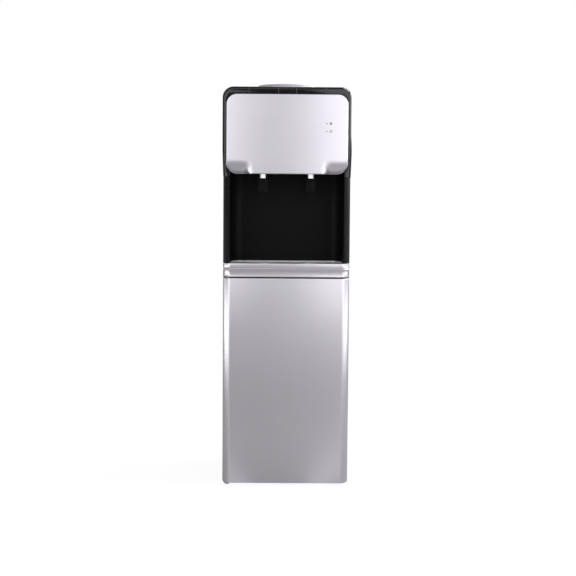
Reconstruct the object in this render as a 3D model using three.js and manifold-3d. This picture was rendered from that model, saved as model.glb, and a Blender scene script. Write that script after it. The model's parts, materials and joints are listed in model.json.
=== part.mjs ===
import * as THREE from 'three';
import { mergeVertices } from 'three/addons/utils/BufferGeometryUtils.js';
import Module from 'manifold-3d';

const wasm = await Module();
wasm.setup();

// A top-loading floor water dispenser: two taps in a recess over a drip tray, a storage cabinet
// with a hinged door below, a cold tank under the bottle seat, a hot tank behind the recess, a
// compressor over the base pan and a wire-and-tube condenser on the back.
// Millimetres. Origin on the floor under the middle of the unit, front towards -Y, up +Z.

// Overall form
const cabinetWidth = 310;
const unitDepth = 320;
const headOverhang = 2;
const frontCornerWide = 20;
const frontCornerDeep = 30;

// Fits shared by all pieces
const seatGap = 0.3;
const runningGap = 0.3;
const overrun = 1;
const cornerSteps = 8;
const smallSides = 12;
const mediumSides = 20;
const largeSides = 28;
const tubeSides = 6;
const rodSides = 6;
const wireSides = 4;
const bendSteps = 5;
const lineSpanSteps = 3;
const mergeTolerance = 0.0001;

// Sheet steel shell
const sheet = 1.2;
const sheetFlange = 12;
const skirtBottom = 8;
const rearPanelBottom = 262;
const condenserSpace = 18.5;
const ventWidth = 56;
const ventHeight = 4;
const ventPitch = 9;
const ventRows = 5;
const ventBelowTop = 20;

// Base pan and feet
const panUnderside = 24;
const panSheet = 1.5;
const panFlange = 20;
const panPadRadius = 9;
const panPadHeight = 12;
const footRadius = 18;
const footPadHeight = 10;
const footNeckRadius = 11;
const footStudRadius = 4;
const footStudRise = 5;
const footFromSide = 44;
const footFromFront = 25;
const footFromBack = 30;

// Door
const doorHeight = 505.3;
const doorThickness = 34;
const doorGap = 3;
const doorWall = 2;
const doorBackRound = 4;
const doorWindowSide = 11;
const doorWindowEnd = 16;
const doorPanelThickness = 2.7;
const doorPadMargin = 6;
const doorPadRise = 1.4;
const hingePinRadius = 3;
const hingeFromSide = 12;
const hingeFromFront = 17;
const hingeBossRadius = 6.5;
const hingeBossHeight = 14;
const hingePinReach = 10;
const hingePinSeat = 9;
const bracketWidth = 20;
const bracketSheet = 2.5;
const bracketFloorGap = 3;
const bracketRiserBack = 5;
const bracketFlangeLength = 34;
const bracketShoulderRadius = 5.5;

// Cabinet liner and catch
const linerFlange = 2.7;
const linerFlangeSide = 2;
const linerFlangeBottom = 14;
const linerFlangeBelowDoorTop = 1.5;
const linerBelowDoorTop = 6.5;
const linerWall = 2.5;
const linerSideGap = 1;
const linerBackSpace = 41.3;
const linerStepAboveCompressor = 47;
const linerStepFrontSpace = 15;
const magnetWidth = 8;
const magnetHeight = 40;
const magnetBelowDoorTop = 56.5;
const magnetProud = 1.3;
const strikerThickness = 0.8;
const strikerMargin = 3;

// Tray surround: rim, shadow step and concave band
const bandGap = 3;
const coveHeight = 20;
const shadowHeight = 3;
const rimHeight = 10.2;
const coveDepth = 7;
const coveSteps = 5;
const edgeRound = 1.2;
const trayWellDepth = 30;
const trayLedge = 1;
const trayFront = 10;

// Drip tray and grille
const trayClearance = 0.6;
const trayWall = 2;
const trayRimDrop = 5;
const grilleThickness = 3;
const slotPitch = 8.4;
const slotWidth = 5;
const slotEndMargin = 6;
const slotSideMargin = 4;
const targetRadius = 14;
const targetButtonRadius = 6;
const targetButtonRise = 0.6;

// Dispensing recess
const recessOpening = 210;
const recessFromBack = 160;
const wingWidth = 16;
const recessCorner = 30;
const recessWall = 3.5;
const tapPlateAboveFascia = 6;
const tapPlateThickness = 3;

// Head frame
const flareHeight = 60;
const frameTopBand = 18.3;
const frameSideBand = 10;
const headCorner = 27;
const frameSetback = 4.5;
const frameEdgeWide = 6.5;
const frameEdgeDeep = 7.5;
const frameEdgeSteps = 4;
const frameSkin = 3;
const frameBand = 8;

// Fascia
const fasciaAboveHeadBottom = 7;
const fasciaHeight = 191.5;
const fasciaCorner = 25;
const fasciaWall = 3;
const fasciaCrown = 2;
const fasciaLean = 1.5;
const creaseRise = 31;
const cornerRollDepth = 26;
const tapBlockHalf = 84;
const tapBlockBlend = 22;
const rollFlattenShare = 0.98;

// Indicators
const lensFromFasciaSide = 51.5;
const coolLensBelowFasciaTop = 70;
const lensSpacing = 18.5;
const lensRadius = 1.6;
const lensProud = 0.4;
const boardWidth = 30;
const boardHeight = 36;
const boardThickness = 1.6;
const boardBehindFace = 15;
const boardPostRadius = 2.5;
const boardPostInset = 5;

// Taps
const tapOffset = 58.8;
const tapBehindFront = 48;
const tapBodyRadius = 13;
const tapBodyHeight = 66;
const tapInletRadius = 4;
const tapInletHeight = 58;
const tapInletReach = 7;
const earWidth = 3;
const earSpacing = 16;
const earHeight = 13;
const earReach = 13;
const pinRadius = 2;
const pinEndOut = 2;
const pinHeadRadius = 3.5;
const pinHeadWidth = 1.5;
const pivotBehindTap = 19;
const pivotHeight = 16;
const spoutRadius = 7;
const spoutBore = 4;
const spoutReach = 16;
const spoutTaper = 0.5;
const hubRadius = 4.6;
const paddleWidth = 24;
const paddleThickness = 3;
const paddleReach = 50.5;
const paddleShoulderDrop = 6;
const slotSideGap = 1.5;
const paddleSlotFront = 6;
const paddleSlotBack = 9;
const springLength = 4;
const springOuter = 4.4;

// Top cover and bottle seat
const coverSkirtDepth = 50;
const coverWall = 3;
const seatHoleRadius = 77;
const collarRise = 13.3;
const collarRadius = 74;
const collarInner = 65;
const collarRound = 2;
const seatFlangeRadius = 88;
const seatFlangeThickness = 3;
const seatSkirtDepth = 8;
const funnelWall = 3;
const funnelDepth = 75;
const neckRadius = 32;
const neckLength = 15;
const ledgeBore = 10.6;
const probeRadius = 10;
const probeBore = 7;
const probeBelowTop = 30;
const probeFlangeRadius = 20;
const probeFlangeThickness = 3;
const probeCrown = 5;
const probeTail = 5;
const probeWindowWidth = 5;
const probeWindowHeight = 14;

// Decks and cold tank
const upperDeckAboveTapPlate = 16;
const upperDeckBehindTaps = 1.5;
const foamBase = 14;
const foamOuter = 76;
const foamInner = 66;
const coldTankRadius = 58;
const coldTankWall = 1.5;
const coilInner = 58.4;
const coilOuter = 63.8;
const coilBelowTankTop = 16;
const coilHeight = 38;
const coldPortRise = 27;
const coldPortX = -40;
const holeClearance = 1;

// Hot tank
const hotTankFromSide = 88.5;
const hotTankFromBack = 80;
const hotTankRadius = 46;
const hotTankRise = 23;
const hotTankHeight = 168;
const hotTankDome = 14;
const hotTankWall = 1.2;
const hotTankSkirtRadius = 38;
const hotTankSkirtWall = 2;
const hotSpigotRadius = 4;
const hotSpigotRise = 7;
const heaterRise = 33;
const heaterHeight = 35;
const heaterThickness = 4;
const fillSpigotInset = 22;

// Water and refrigerant lines, and the places where they pass the decks
const waterLineRadius = 4;
const waterLineLead = 16;
const waterLineBend = 14;
const hotLineArch = 42;
const fillLineArch = 28;
const hotRiserFromSide = 45.5;
const hotRiserBehindRecess = 9;
const fillX = 26;
const fillY = 22;
const lineDropFromBack = 18.5;
const refrigerantLineRadius = 2.4;
const refrigerantLineBend = 12;
const suctionFromSide = 41.5;

// Compressor
const compressorX = 15;
const compressorFromBack = 70;
const compressorRadius = 56;
const compressorBottom = 44;
const compressorTop = 188;
const compressorDome = 26;
const compressorSeam = 120;
const compressorSeamRise = 3;
const compressorSeamHeight = 6;
const compressorFootSpan = 130;
const compressorFootDepth = 96;
const compressorFootSheet = 3;
const compressorNeckShare = 0.75;
const compressorPipeRadius = 4;
const compressorPipeRise = 12;
const dischargePipeX = -18;
const suctionPipeX = 34;

// Condenser
const condenserFromSide = 37;
const condenserRise = 38;
const condenserHeight = 440;
const condenserPasses = 9;
const condenserTubeRadius = 2.4;
const condenserWireRadius = 0.8;
const condenserWires = 10;
const condenserRodRadius = 1.3;
const condenserRodInset = 10;
const condenserLegWidth = 12;
const condenserLegSheet = 1.6;

// Rear fittings
const switchFromSide = 68.5;
const switchBelowTop = 76;
const switchPlateWidth = 62;
const switchPlateHeight = 42;
const switchPlateThickness = 2;
const switchBodyWidth = 56;
const switchBodyHeight = 36;
const switchBodyDepth = 14;
const switchSocketDepth = 2;
const rockerWidth = 18;
const rockerHeight = 24;
const rockerSpacing = 28;
const rockerGap = 1.2;
const rockerTilt = 8;
const rockerCrest = 5.5;
const rockerWaist = 3.6;
const rockerBackHeight = 16;
const rockerBack = 5;
const rockerPivotDepth = 4;
const rockerPivotRadius = 1.5;
const inletFromSide = 68.5;
const inletBelowTop = 76;
const inletWidth = 50;
const inletPlateHeight = 28;
const inletPlateThickness = 2;
const inletBodyWidth = 30;
const inletBodyHeight = 22;
const inletBodyDepth = 20;
const inletMouthWall = 2;
const inletMouthDepth = 17;
const inletPinWidth = 2;
const inletPinHeight = 5;
const inletPinReach = 11;
const inletPinOffset = 7;
const inletPinDrop = 3;
const drainAbovePanelEdge = 16;
const drainProud = 9;
const capWall = 2.5;
const capLength = 9;

// Planes and edges that several pieces share
const halfCabinet = cabinetWidth / 2;
const headHalf = halfCabinet + headOverhang;
const frontY = -unitDepth / 2;
const backY = unitDepth / 2;
const doorBack = frontY + doorThickness;
const bodyFront = doorBack + doorGap;
const shellFront = bodyFront + linerFlange + seatGap;
const mouldingBack = shellFront - seatGap;
const rearPanelOuter = backY - condenserSpace;
const rearPanelInner = rearPanelOuter - sheet;
const shellBack = rearPanelInner - seatGap;
const shellInnerHalf = halfCabinet - sheet;
const deckHalf = shellInnerHalf - seatGap;
const deckFront = shellFront + sheet + seatGap;
const deckBack = shellBack - sheet - seatGap;
const panTop = panUnderside + panSheet;
const doorTop = skirtBottom + doorHeight;
const bandBottom = doorTop + bandGap;
const coveTop = bandBottom + coveHeight;
const rimBottom = coveTop + shadowHeight;
const rimTop = rimBottom + rimHeight;
const trayFloor = rimTop - trayWellDepth;
const trayRim = rimTop - trayRimDrop;
const headBottom = rimTop + recessOpening;
const flareTop = headBottom + flareHeight;
const fasciaBottom = headBottom + fasciaAboveHeadBottom;
const fasciaTop = fasciaBottom + fasciaHeight;
const fasciaHalf = headHalf - frameSideBand;
const creaseHeight = fasciaBottom + creaseRise;
const headTop = fasciaTop + frameTopBand;
const collarTop = headTop + collarRise;
const coverSkirtBottom = headTop - coverSkirtDepth;
const sidePanelTop = coverSkirtBottom - seatGap;
const middleDeckTop = bandBottom - seatGap;
const middleDeckUnder = middleDeckTop - sheet;
const recessHalf = halfCabinet - wingWidth;
const recessBack = shellBack - recessFromBack;
const recessOuterHalf = recessHalf + recessWall;
const recessOuterBack = recessBack + recessWall;
const tapPlateBottom = fasciaBottom + tapPlateAboveFascia;
const tapPlateTop = tapPlateBottom + tapPlateThickness;
const upperDeckTop = tapPlateTop + upperDeckAboveTapPlate;
const lensX = fasciaHalf - lensFromFasciaSide;
const coolLensHeight = fasciaTop - coolLensBelowFasciaTop;
const heatLensHeight = coolLensHeight - lensSpacing;
const tapY = frontY + tapBehindFront;
const pivotY = tapY + pivotBehindTap;
const earBack = pivotY + earReach / 2;
const upperDeckFront = earBack + upperDeckBehindTaps;
const pivotZ = tapPlateTop + pivotHeight;
const spoutTip = tapPlateBottom - spoutReach;
const paddleTip = tapPlateBottom - paddleReach;
const paddleShoulder = tapPlateBottom - paddleShoulderDrop;
const hingeX = -halfCabinet + hingeFromSide;
const hingeY = frontY + hingeFromFront;
const coverBack = rearPanelOuter;
const linerHalf = halfCabinet - sheetFlange - linerSideGap;
const linerBottom = panTop + footStudRise + seatGap;
const linerTop = doorTop - linerBelowDoorTop;
const linerFlangeTop = doorTop - linerFlangeBelowDoorTop;
const magnetX = halfCabinet - linerFlangeSide - magnetWidth / 2 - strikerMargin;
const magnetTop = doorTop - magnetBelowDoorTop;
const magnetFront = bodyFront - magnetProud;
const funnelBottom = headTop - funnelDepth;
const neckTop = funnelBottom + neckLength;
const probeTop = headTop - probeBelowTop;
const foamBottom = upperDeckTop + seatGap;
const tankBottom = foamBottom + foamBase + seatGap;
const coldTankTop = funnelBottom - probeTail;
const coilTop = coldTankTop - coilBelowTankTop;
const coilBottom = coilTop - coilHeight;
const coldPortHeight = tankBottom + coldPortRise;
const hotTankX = -deckHalf + hotTankFromSide;
const hotTankY = shellBack - hotTankFromBack;
const hotTankBottom = middleDeckTop + hotTankRise;
const hotTankTop = hotTankBottom + hotTankHeight;
const heaterBottom = hotTankBottom + heaterRise;
const heaterTop = heaterBottom + heaterHeight;
const hotRiserX = deckHalf - hotRiserFromSide;
const hotRiserY = recessOuterBack + hotRiserBehindRecess;
const lineDropY = deckBack - lineDropFromBack;
const suctionX = deckHalf - suctionFromSide;
const compressorY = shellBack - compressorFromBack;
const linerStep = compressorTop + linerStepAboveCompressor;
const linerBack = rearPanelInner - linerBackSpace;
const linerStepBack = compressorY - compressorRadius - compressorSeamRise - linerStepFrontSpace;
const condenserHalf = halfCabinet - condenserFromSide;
const condenserBottom = rearPanelBottom + condenserRise;
const condenserTop = condenserBottom + condenserHeight;
const switchX = deckHalf - switchFromSide;
const switchHeight = sidePanelTop - switchBelowTop;
const inletX = -deckHalf + inletFromSide;
const inletHeight = sidePanelTop - inletBelowTop;
const drainX = hotTankX;
const drainHeight = rearPanelBottom + drainAbovePanelEdge;

const quarterTurn = Math.PI / 2;
const halfTurn = Math.PI;
const fullTurn = 2 * Math.PI;

function arc(centreX, centreY, radiusX, radiusY, from, to, steps = cornerSteps) {
  const points = [];
  for (let step = 0; step <= steps; step += 1) {
    const angle = from + ((to - from) * step) / steps;
    points.push(new THREE.Vector2(
      centreX + radiusX * Math.cos(angle),
      centreY + radiusY * Math.sin(angle),
    ));
  }
  return points;
}

function circle(centreX, centreY, radius, sides) {
  return arc(centreX, centreY, radius, radius, 0, fullTurn, sides).slice(0, sides);
}

function manifoldOf(positions, corners) {
  return new wasm.Manifold(new wasm.Mesh({
    numProp: 3,
    vertProperties: Float32Array.from(positions),
    triVerts: Uint32Array.from(corners),
  }));
}

// A closed solid with its faces turned outwards, whichever way the geometry wound them
function solidOf(geometry) {
  geometry.deleteAttribute('normal');
  geometry.deleteAttribute('uv');
  const merged = mergeVertices(geometry, mergeTolerance);
  const index = merged.index.array;
  const corners = [];
  for (let first = 0; first < index.length; first += 3) {
    const [a, b, c] = [index[first], index[first + 1], index[first + 2]];
    if (a !== b && b !== c && c !== a) {
      corners.push(a, b, c);
    }
  }
  const positions = merged.attributes.position.array;
  const solid = manifoldOf(positions, corners);
  return solid.volume() < 0 ? manifoldOf(positions, corners.reverse()) : solid;
}

function join(first, ...others) {
  return others.reduce((total, other) => total.add(other), first);
}

function cut(base, ...tools) {
  return tools.reduce((rest, tool) => rest.subtract(tool), base);
}

function across(half) {
  return [-half, half];
}

function about(centre, size) {
  return [centre - size / 2, centre + size / 2];
}

// A block between the low and high value of each axis
function block([x0, x1], [y0, y1], [z0, z1]) {
  const geometry = new THREE.BoxGeometry(x1 - x0, y1 - y0, z1 - z0);
  geometry.translate((x0 + x1) / 2, (y0 + y1) / 2, (z0 + z1) / 2);
  return solidOf(geometry);
}

function extruded(outline, depth) {
  return new THREE.ExtrudeGeometry(new THREE.Shape(outline), { depth, bevelEnabled: false });
}

// An outline drawn in plan (x, y) and raised along Z
function raised(outline, [low, high]) {
  const geometry = extruded(outline, high - low);
  geometry.translate(0, 0, low);
  return solidOf(geometry);
}

// An outline drawn in front view (x, z) and run from front to back along Y
function runBack(outline, [low, high]) {
  const geometry = extruded(outline, high - low);
  geometry.rotateX(quarterTurn);
  geometry.translate(0, high, 0);
  return solidOf(geometry);
}

// An outline drawn in side view (y, z) and run across along X
function runAcross(outline, [low, high]) {
  const geometry = extruded(outline, high - low);
  geometry.applyMatrix4(new THREE.Matrix4().makeBasis(
    new THREE.Vector3(0, 1, 0),
    new THREE.Vector3(0, 0, 1),
    new THREE.Vector3(1, 0, 0),
  ));
  geometry.translate(low, 0, 0);
  return solidOf(geometry);
}

// A straight round bar between two points
function bar(from, to, radius, sides = smallSides) {
  const length = from.distanceTo(to);
  const geometry = new THREE.CylinderGeometry(radius, radius, length, sides);
  const along = new THREE.Vector3().subVectors(to, from).normalize();
  geometry.applyQuaternion(new THREE.Quaternion().setFromUnitVectors(new THREE.Vector3(0, 1, 0), along));
  geometry.translate((from.x + to.x) / 2, (from.y + to.y) / 2, (from.z + to.z) / 2);
  return solidOf(geometry);
}

function post(x, y, [low, high], radius, sides = smallSides) {
  return bar(new THREE.Vector3(x, y, low), new THREE.Vector3(x, y, high), radius, sides);
}

// A profile of [radius, height] pairs turned about an upright axis at x, y
function turned(profile, x, y, sides = largeSides) {
  const points = profile.map(([radius, height]) => new THREE.Vector2(radius, height));
  const geometry = new THREE.LatheGeometry(points, sides);
  geometry.rotateX(quarterTurn);
  geometry.translate(x, y, 0);
  return solidOf(geometry);
}

// Closed outlines of equal point count, joined from one level to the next
function lofted(levels, place) {
  const count = levels[0].outline.length;
  const positions = levels.flatMap(({ outline, at }) => outline.flatMap((point) => place(point, at)));
  const corners = [];
  for (let level = 0; level < levels.length - 1; level += 1) {
    for (let side = 0; side < count; side += 1) {
      const a = level * count + side;
      const b = level * count + ((side + 1) % count);
      corners.push(a, b, b + count, a, b + count, a + count);
    }
  }
  const last = (levels.length - 1) * count;
  for (const [a, b, c] of THREE.ShapeUtils.triangulateShape(levels[0].outline, [])) {
    corners.push(c, b, a);
  }
  for (const [a, b, c] of THREE.ShapeUtils.triangulateShape(levels.at(-1).outline, [])) {
    corners.push(last + a, last + b, last + c);
  }
  const geometry = new THREE.BufferGeometry();
  geometry.setAttribute('position', new THREE.Float32BufferAttribute(positions, 3));
  geometry.setIndex(corners);
  return solidOf(geometry);
}

const inPlan = (point, height) => [point.x, point.y, height];
const inFrontView = (point, depth) => [point.x, depth, point.y];

// A block over a grid of x and z stations whose front and back follow two surfaces
function gridBlock(stationsX, stationsZ, front, back) {
  const rows = stationsZ.length;
  const columns = stationsX.length;
  const positions = [];
  for (const surface of [front, back]) {
    for (const z of stationsZ) {
      for (const x of stationsX) {
        positions.push(x, surface(x, z), z);
      }
    }
  }
  const layer = rows * columns;
  const corners = [];
  const quad = (a, b, c, d) => corners.push(a, b, c, a, c, d);
  for (let row = 0; row < rows - 1; row += 1) {
    for (let column = 0; column < columns - 1; column += 1) {
      const a = row * columns + column;
      quad(a, a + 1, a + 1 + columns, a + columns);
      quad(a + layer, a + columns + layer, a + 1 + columns + layer, a + 1 + layer);
    }
  }
  for (let column = 0; column < columns - 1; column += 1) {
    const top = (rows - 1) * columns + column;
    quad(column + 1, column, column + layer, column + 1 + layer);
    quad(top, top + 1, top + 1 + layer, top + layer);
  }
  for (let row = 0; row < rows - 1; row += 1) {
    const left = row * columns;
    const right = left + columns - 1;
    quad(left, left + columns, left + columns + layer, left + layer);
    quad(right + columns, right, right + layer, right + columns + layer);
  }
  const geometry = new THREE.BufferGeometry();
  geometry.setAttribute('position', new THREE.Float32BufferAttribute(positions, 3));
  geometry.setIndex(corners);
  return solidOf(geometry);
}

// A round tube along a smooth route through the points, ringed alike between each two of them
function routed(points, radius) {
  const route = new THREE.CatmullRomCurve3(points.map(([x, y, z]) => new THREE.Vector3(x, y, z)));
  const section = circle(0, 0, radius, tubeSides);
  const count = (points.length - 1) * lineSpanSteps;
  const first = route.getTangent(0);
  let side = Math.abs(first.z) < Math.abs(first.x) + Math.abs(first.y)
    ? new THREE.Vector3(0, 0, 1)
    : new THREE.Vector3(1, 0, 0);
  const levels = [];
  for (let step = 0; step <= count; step += 1) {
    const along = route.getTangent(step / count);
    side = side.clone().projectOnPlane(along).normalize();
    const up = new THREE.Vector3().crossVectors(along, side);
    levels.push({ outline: section, at: { centre: route.getPoint(step / count), side, up } });
  }
  return lofted(levels, (corner, { centre, side: right, up }) => centre.clone()
    .addScaledVector(right, corner.x)
    .addScaledVector(up, corner.y)
    .toArray());
}

// A round tube whose route lies in one upright plane, given as (x, z) points
function flatTube(route, depth, radius) {
  const section = circle(0, 0, radius, tubeSides);
  const levels = route.map((point, place) => {
    const before = route[Math.max(0, place - 1)];
    const after = route[Math.min(route.length - 1, place + 1)];
    const along = new THREE.Vector2().subVectors(after, before).normalize();
    return { outline: section, at: { point, along } };
  });
  return lofted(levels, (corner, { point, along }) => [
    point.x - along.y * corner.x,
    depth + corner.y,
    point.y + along.x * corner.x,
  ]);
}

const unit = new THREE.Group();

function add(name, solid, colour, roughness, metalness = 0) {
  const { vertProperties, triVerts } = solid.getMesh();
  const geometry = new THREE.BufferGeometry();
  geometry.setAttribute('position', new THREE.BufferAttribute(vertProperties, 3));
  geometry.setIndex(new THREE.BufferAttribute(triVerts, 1));
  geometry.computeVertexNormals();
  const material = new THREE.MeshStandardMaterial({ color: colour, roughness, metalness });
  const mesh = new THREE.Mesh(geometry, material);
  mesh.name = name;
  unit.add(mesh);
}

// Colours and finishes, as [colour, roughness, metalness]
const silverPaint = [0xb7b4bc, 0.32, 0.55];
const glossBlack = [0x101012, 0.12, 0];
const mattBlack = [0x1b1b1d, 0.6, 0];
const darkSteel = [0x2b2c30, 0.45, 0.2];
const zincSteel = [0xa9adb0, 0.45, 0.85];
const greyPlastic = [0x9d979f, 0.4, 0];
const whitePlastic = [0xf1f1f1, 0.35, 0];
const linerPlastic = [0xd9d9d7, 0.5, 0];
const rubber = [0x202022, 0.85, 0];
const stainless = [0xc6c8ca, 0.25, 0.95];
const copper = [0xb87a54, 0.35, 0.9];
const foamWhite = [0xefeee8, 0.95, 0];
const silicone = [0xe3e4e0, 0.5, 0];
const blackEnamel = [0x141416, 0.35, 0.1];
const boardGreen = [0x2c5a3a, 0.6, 0];
const clearLens = [0x4a5560, 0.2, 0];
const warmLens = [0x5c4a4a, 0.2, 0];
const bandMica = [0x8e8a80, 0.5, 0.4];
const ferrite = [0x3a3a3c, 0.7, 0.1];

// Plan outline of the front: straight face, elliptical corners, square or rounded back corners
function frontOutline(inset, rear, backRound = 0) {
  const half = halfCabinet - inset;
  const wide = frontCornerWide - inset;
  const deep = frontCornerDeep - inset;
  const centreX = halfCabinet - frontCornerWide;
  const centreY = frontY + frontCornerDeep;
  const left = backRound > 0
    ? arc(-half + backRound, rear - backRound, backRound, backRound, quarterTurn, halfTurn)
    : [new THREE.Vector2(-half, rear)];
  const right = backRound > 0
    ? arc(half - backRound, rear - backRound, backRound, backRound, 0, quarterTurn)
    : [new THREE.Vector2(half, rear)];
  return [
    ...left,
    ...arc(-centreX, centreY, wide, deep, halfTurn, halfTurn + quarterTurn),
    ...arc(centreX, centreY, wide, deep, halfTurn + quarterTurn, fullTurn),
    ...right,
  ];
}

// Plan outline of the recess and of the tray well below it: rounded at the back corners
function wellOutline(inset, front) {
  const half = recessHalf - inset;
  const back = recessBack - inset;
  const radius = recessCorner - inset;
  return [
    new THREE.Vector2(-half, front),
    new THREE.Vector2(half, front),
    ...arc(half - radius, back - radius, radius, radius, 0, quarterTurn),
    ...arc(-half + radius, back - radius, radius, radius, quarterTurn, halfTurn),
  ];
}

// Front-view outline of the head: flared sides and rounded shoulders
function headOutline(inset, bottom) {
  const radius = headCorner - inset;
  const half = headHalf - inset;
  const centreX = headHalf - headCorner;
  const centreZ = headTop - headCorner;
  const flare = bottom < flareTop
    ? [new THREE.Vector2(halfCabinet - inset, bottom), new THREE.Vector2(half, flareTop)]
    : [new THREE.Vector2(half, bottom)];
  const mirrored = flare.map((point) => new THREE.Vector2(-point.x, point.y));
  return [
    ...flare,
    ...arc(centreX, centreZ, radius, radius, 0, quarterTurn),
    ...arc(-centreX, centreZ, radius, radius, quarterTurn, halfTurn),
    ...mirrored.reverse(),
  ];
}

function roundedRectangle([x0, x1], [z0, z1], radius) {
  return [
    ...arc(x1 - radius, z0 + radius, radius, radius, -quarterTurn, 0),
    ...arc(x1 - radius, z1 - radius, radius, radius, 0, quarterTurn),
    ...arc(x0 + radius, z1 - radius, radius, radius, quarterTurn, halfTurn),
    ...arc(x0 + radius, z0 + radius, radius, radius, halfTurn, halfTurn + quarterTurn),
  ];
}

function addBase() {
  const floor = [panUnderside, panTop];
  let pan = join(
    block(across(deckHalf), [deckFront, deckBack], floor),
    block([-deckHalf, -deckHalf + panSheet], [deckFront, deckBack], [panUnderside, panTop + panFlange]),
    block([deckHalf - panSheet, deckHalf], [deckFront, deckBack], [panUnderside, panTop + panFlange]),
    block(across(deckHalf), [deckBack - panSheet, deckBack], [panUnderside, panTop + panFlange]),
  );
  const padX = compressorFootSpan / 2 - panPadRadius;
  const padY = compressorFootDepth / 2 - panPadRadius;
  for (const x of [compressorX - padX, compressorX + padX]) {
    for (const y of [compressorY - padY, compressorY + padY]) {
      pan = join(pan, post(x, y, [panUnderside + panSheet / 2, panTop + panPadHeight], panPadRadius));
    }
  }
  const footX = halfCabinet - footFromSide;
  const footRows = [['front', shellFront + footFromFront], ['rear', shellBack - footFromBack]];
  const footSides = [['left', -footX], ['right', footX]];
  for (const [row, y] of footRows) {
    for (const [side, x] of footSides) {
      const clear = footStudRadius + runningGap;
      pan = cut(pan, post(x, y, [panUnderside - overrun, panTop + overrun], clear));
      add(`foot_${row}_${side}`, turned([
        [0, 0],
        [footRadius - edgeRound, 0],
        [footRadius, edgeRound],
        [footRadius, footPadHeight],
        [footNeckRadius, footPadHeight + edgeRound],
        [footNeckRadius, panUnderside - seatGap],
        [footStudRadius, panUnderside - seatGap],
        [footStudRadius, panTop + footStudRise],
        [0, panTop + footStudRise],
      ], x, y, smallSides), ...rubber);
    }
  }
  add('base_pan', pan, ...zincSteel);
}

function addShell() {
  for (const [side, sign] of [['left', -1], ['right', 1]]) {
    const outer = sign * halfCabinet;
    const inner = sign * shellInnerHalf;
    const lip = sign * (halfCabinet - sheetFlange);
    const outline = [
      [outer, shellFront],
      [outer, shellBack],
      [lip, shellBack],
      [lip, shellBack - sheet],
      [inner, shellBack - sheet],
      [inner, shellFront + sheet],
      [lip, shellFront + sheet],
      [lip, shellFront],
    ].map(([x, y]) => new THREE.Vector2(x, y));
    add(`side_panel_${side}`, raised(outline, [skirtBottom, sidePanelTop]), ...darkSteel);
  }
  let rear = block(across(deckHalf), [rearPanelInner, rearPanelOuter], [rearPanelBottom, sidePanelTop]);
  const cutDepth = [rearPanelInner - overrun, rearPanelOuter + overrun];
  for (let row = 0; row < ventRows; row += 1) {
    const z = sidePanelTop - ventBelowTop - row * ventPitch;
    rear = cut(rear, block(about(0, ventWidth), cutDepth, about(z, ventHeight)));
  }
  const switchHole = [
    about(switchX, switchBodyWidth + seatGap * 2),
    about(switchHeight, switchBodyHeight + seatGap * 2),
  ];
  const inletHole = [
    about(inletX, inletBodyWidth + runningGap * 2),
    about(inletHeight, inletBodyHeight + runningGap * 2),
  ];
  rear = cut(
    rear,
    block(switchHole[0], cutDepth, switchHole[1]),
    block(inletHole[0], cutDepth, inletHole[1]),
    bar(
      new THREE.Vector3(drainX, cutDepth[0], drainHeight),
      new THREE.Vector3(drainX, cutDepth[1], drainHeight),
      waterLineRadius + runningGap,
    ),
  );
  add('rear_panel', rear, ...darkSteel);
}

function addDecks() {
  const hole = waterLineRadius + holeClearance;
  const middle = cut(
    block(across(deckHalf), [deckFront, deckBack], [middleDeckUnder, middleDeckTop]),
    post(suctionX, lineDropY, [middleDeckUnder - overrun, middleDeckTop + overrun], hole),
    post(drainX, lineDropY, [middleDeckUnder - overrun, middleDeckTop + overrun], hole + holeClearance),
  );
  add('middle_deck', middle, ...zincSteel);
  const deckZ = [upperDeckTop - sheet, upperDeckTop];
  const cutZ = [upperDeckTop - sheet - overrun, upperDeckTop + overrun];
  const upper = cut(
    block(across(deckHalf), [upperDeckFront, deckBack], deckZ),
    post(suctionX, lineDropY, cutZ, hole),
    post(hotRiserX, hotRiserY, cutZ, hole),
    post(fillX, fillY, cutZ, hole),
  );
  add('upper_deck', upper, ...zincSteel);
}

function linerProfile(inset) {
  const front = bodyFront - (inset > 0 ? overrun : 0);
  const back = linerBack - inset;
  const lowerBack = linerStepBack - inset;
  return [
    [front, linerBottom + inset],
    [lowerBack, linerBottom + inset],
    [lowerBack, linerStep + inset],
    [back, linerStep + inset],
    [back, linerTop - inset],
    [front, linerTop - inset],
  ].map(([y, z]) => new THREE.Vector2(y, z));
}

function addLiner() {
  const flangeX = across(halfCabinet - linerFlangeSide);
  const flange = block(flangeX, [bodyFront, bodyFront + linerFlange], [linerFlangeBottom, linerFlangeTop]);
  const magnetWindow = block(
    about(magnetX, magnetWidth + seatGap * 2),
    [bodyFront - overrun, bodyFront + linerFlange + overrun],
    [magnetTop - magnetHeight - seatGap, magnetTop + seatGap],
  );
  const outer = join(flange, runAcross(linerProfile(0), across(linerHalf)));
  const liner = cut(outer, runAcross(linerProfile(linerWall), across(linerHalf - linerWall)), magnetWindow);
  add('cabinet_liner', liner, ...linerPlastic);
  const magnet = block(
    about(magnetX, magnetWidth),
    [magnetFront, shellFront - seatGap],
    [magnetTop - magnetHeight, magnetTop],
  );
  add('catch_magnet', magnet, ...ferrite);
}

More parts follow.
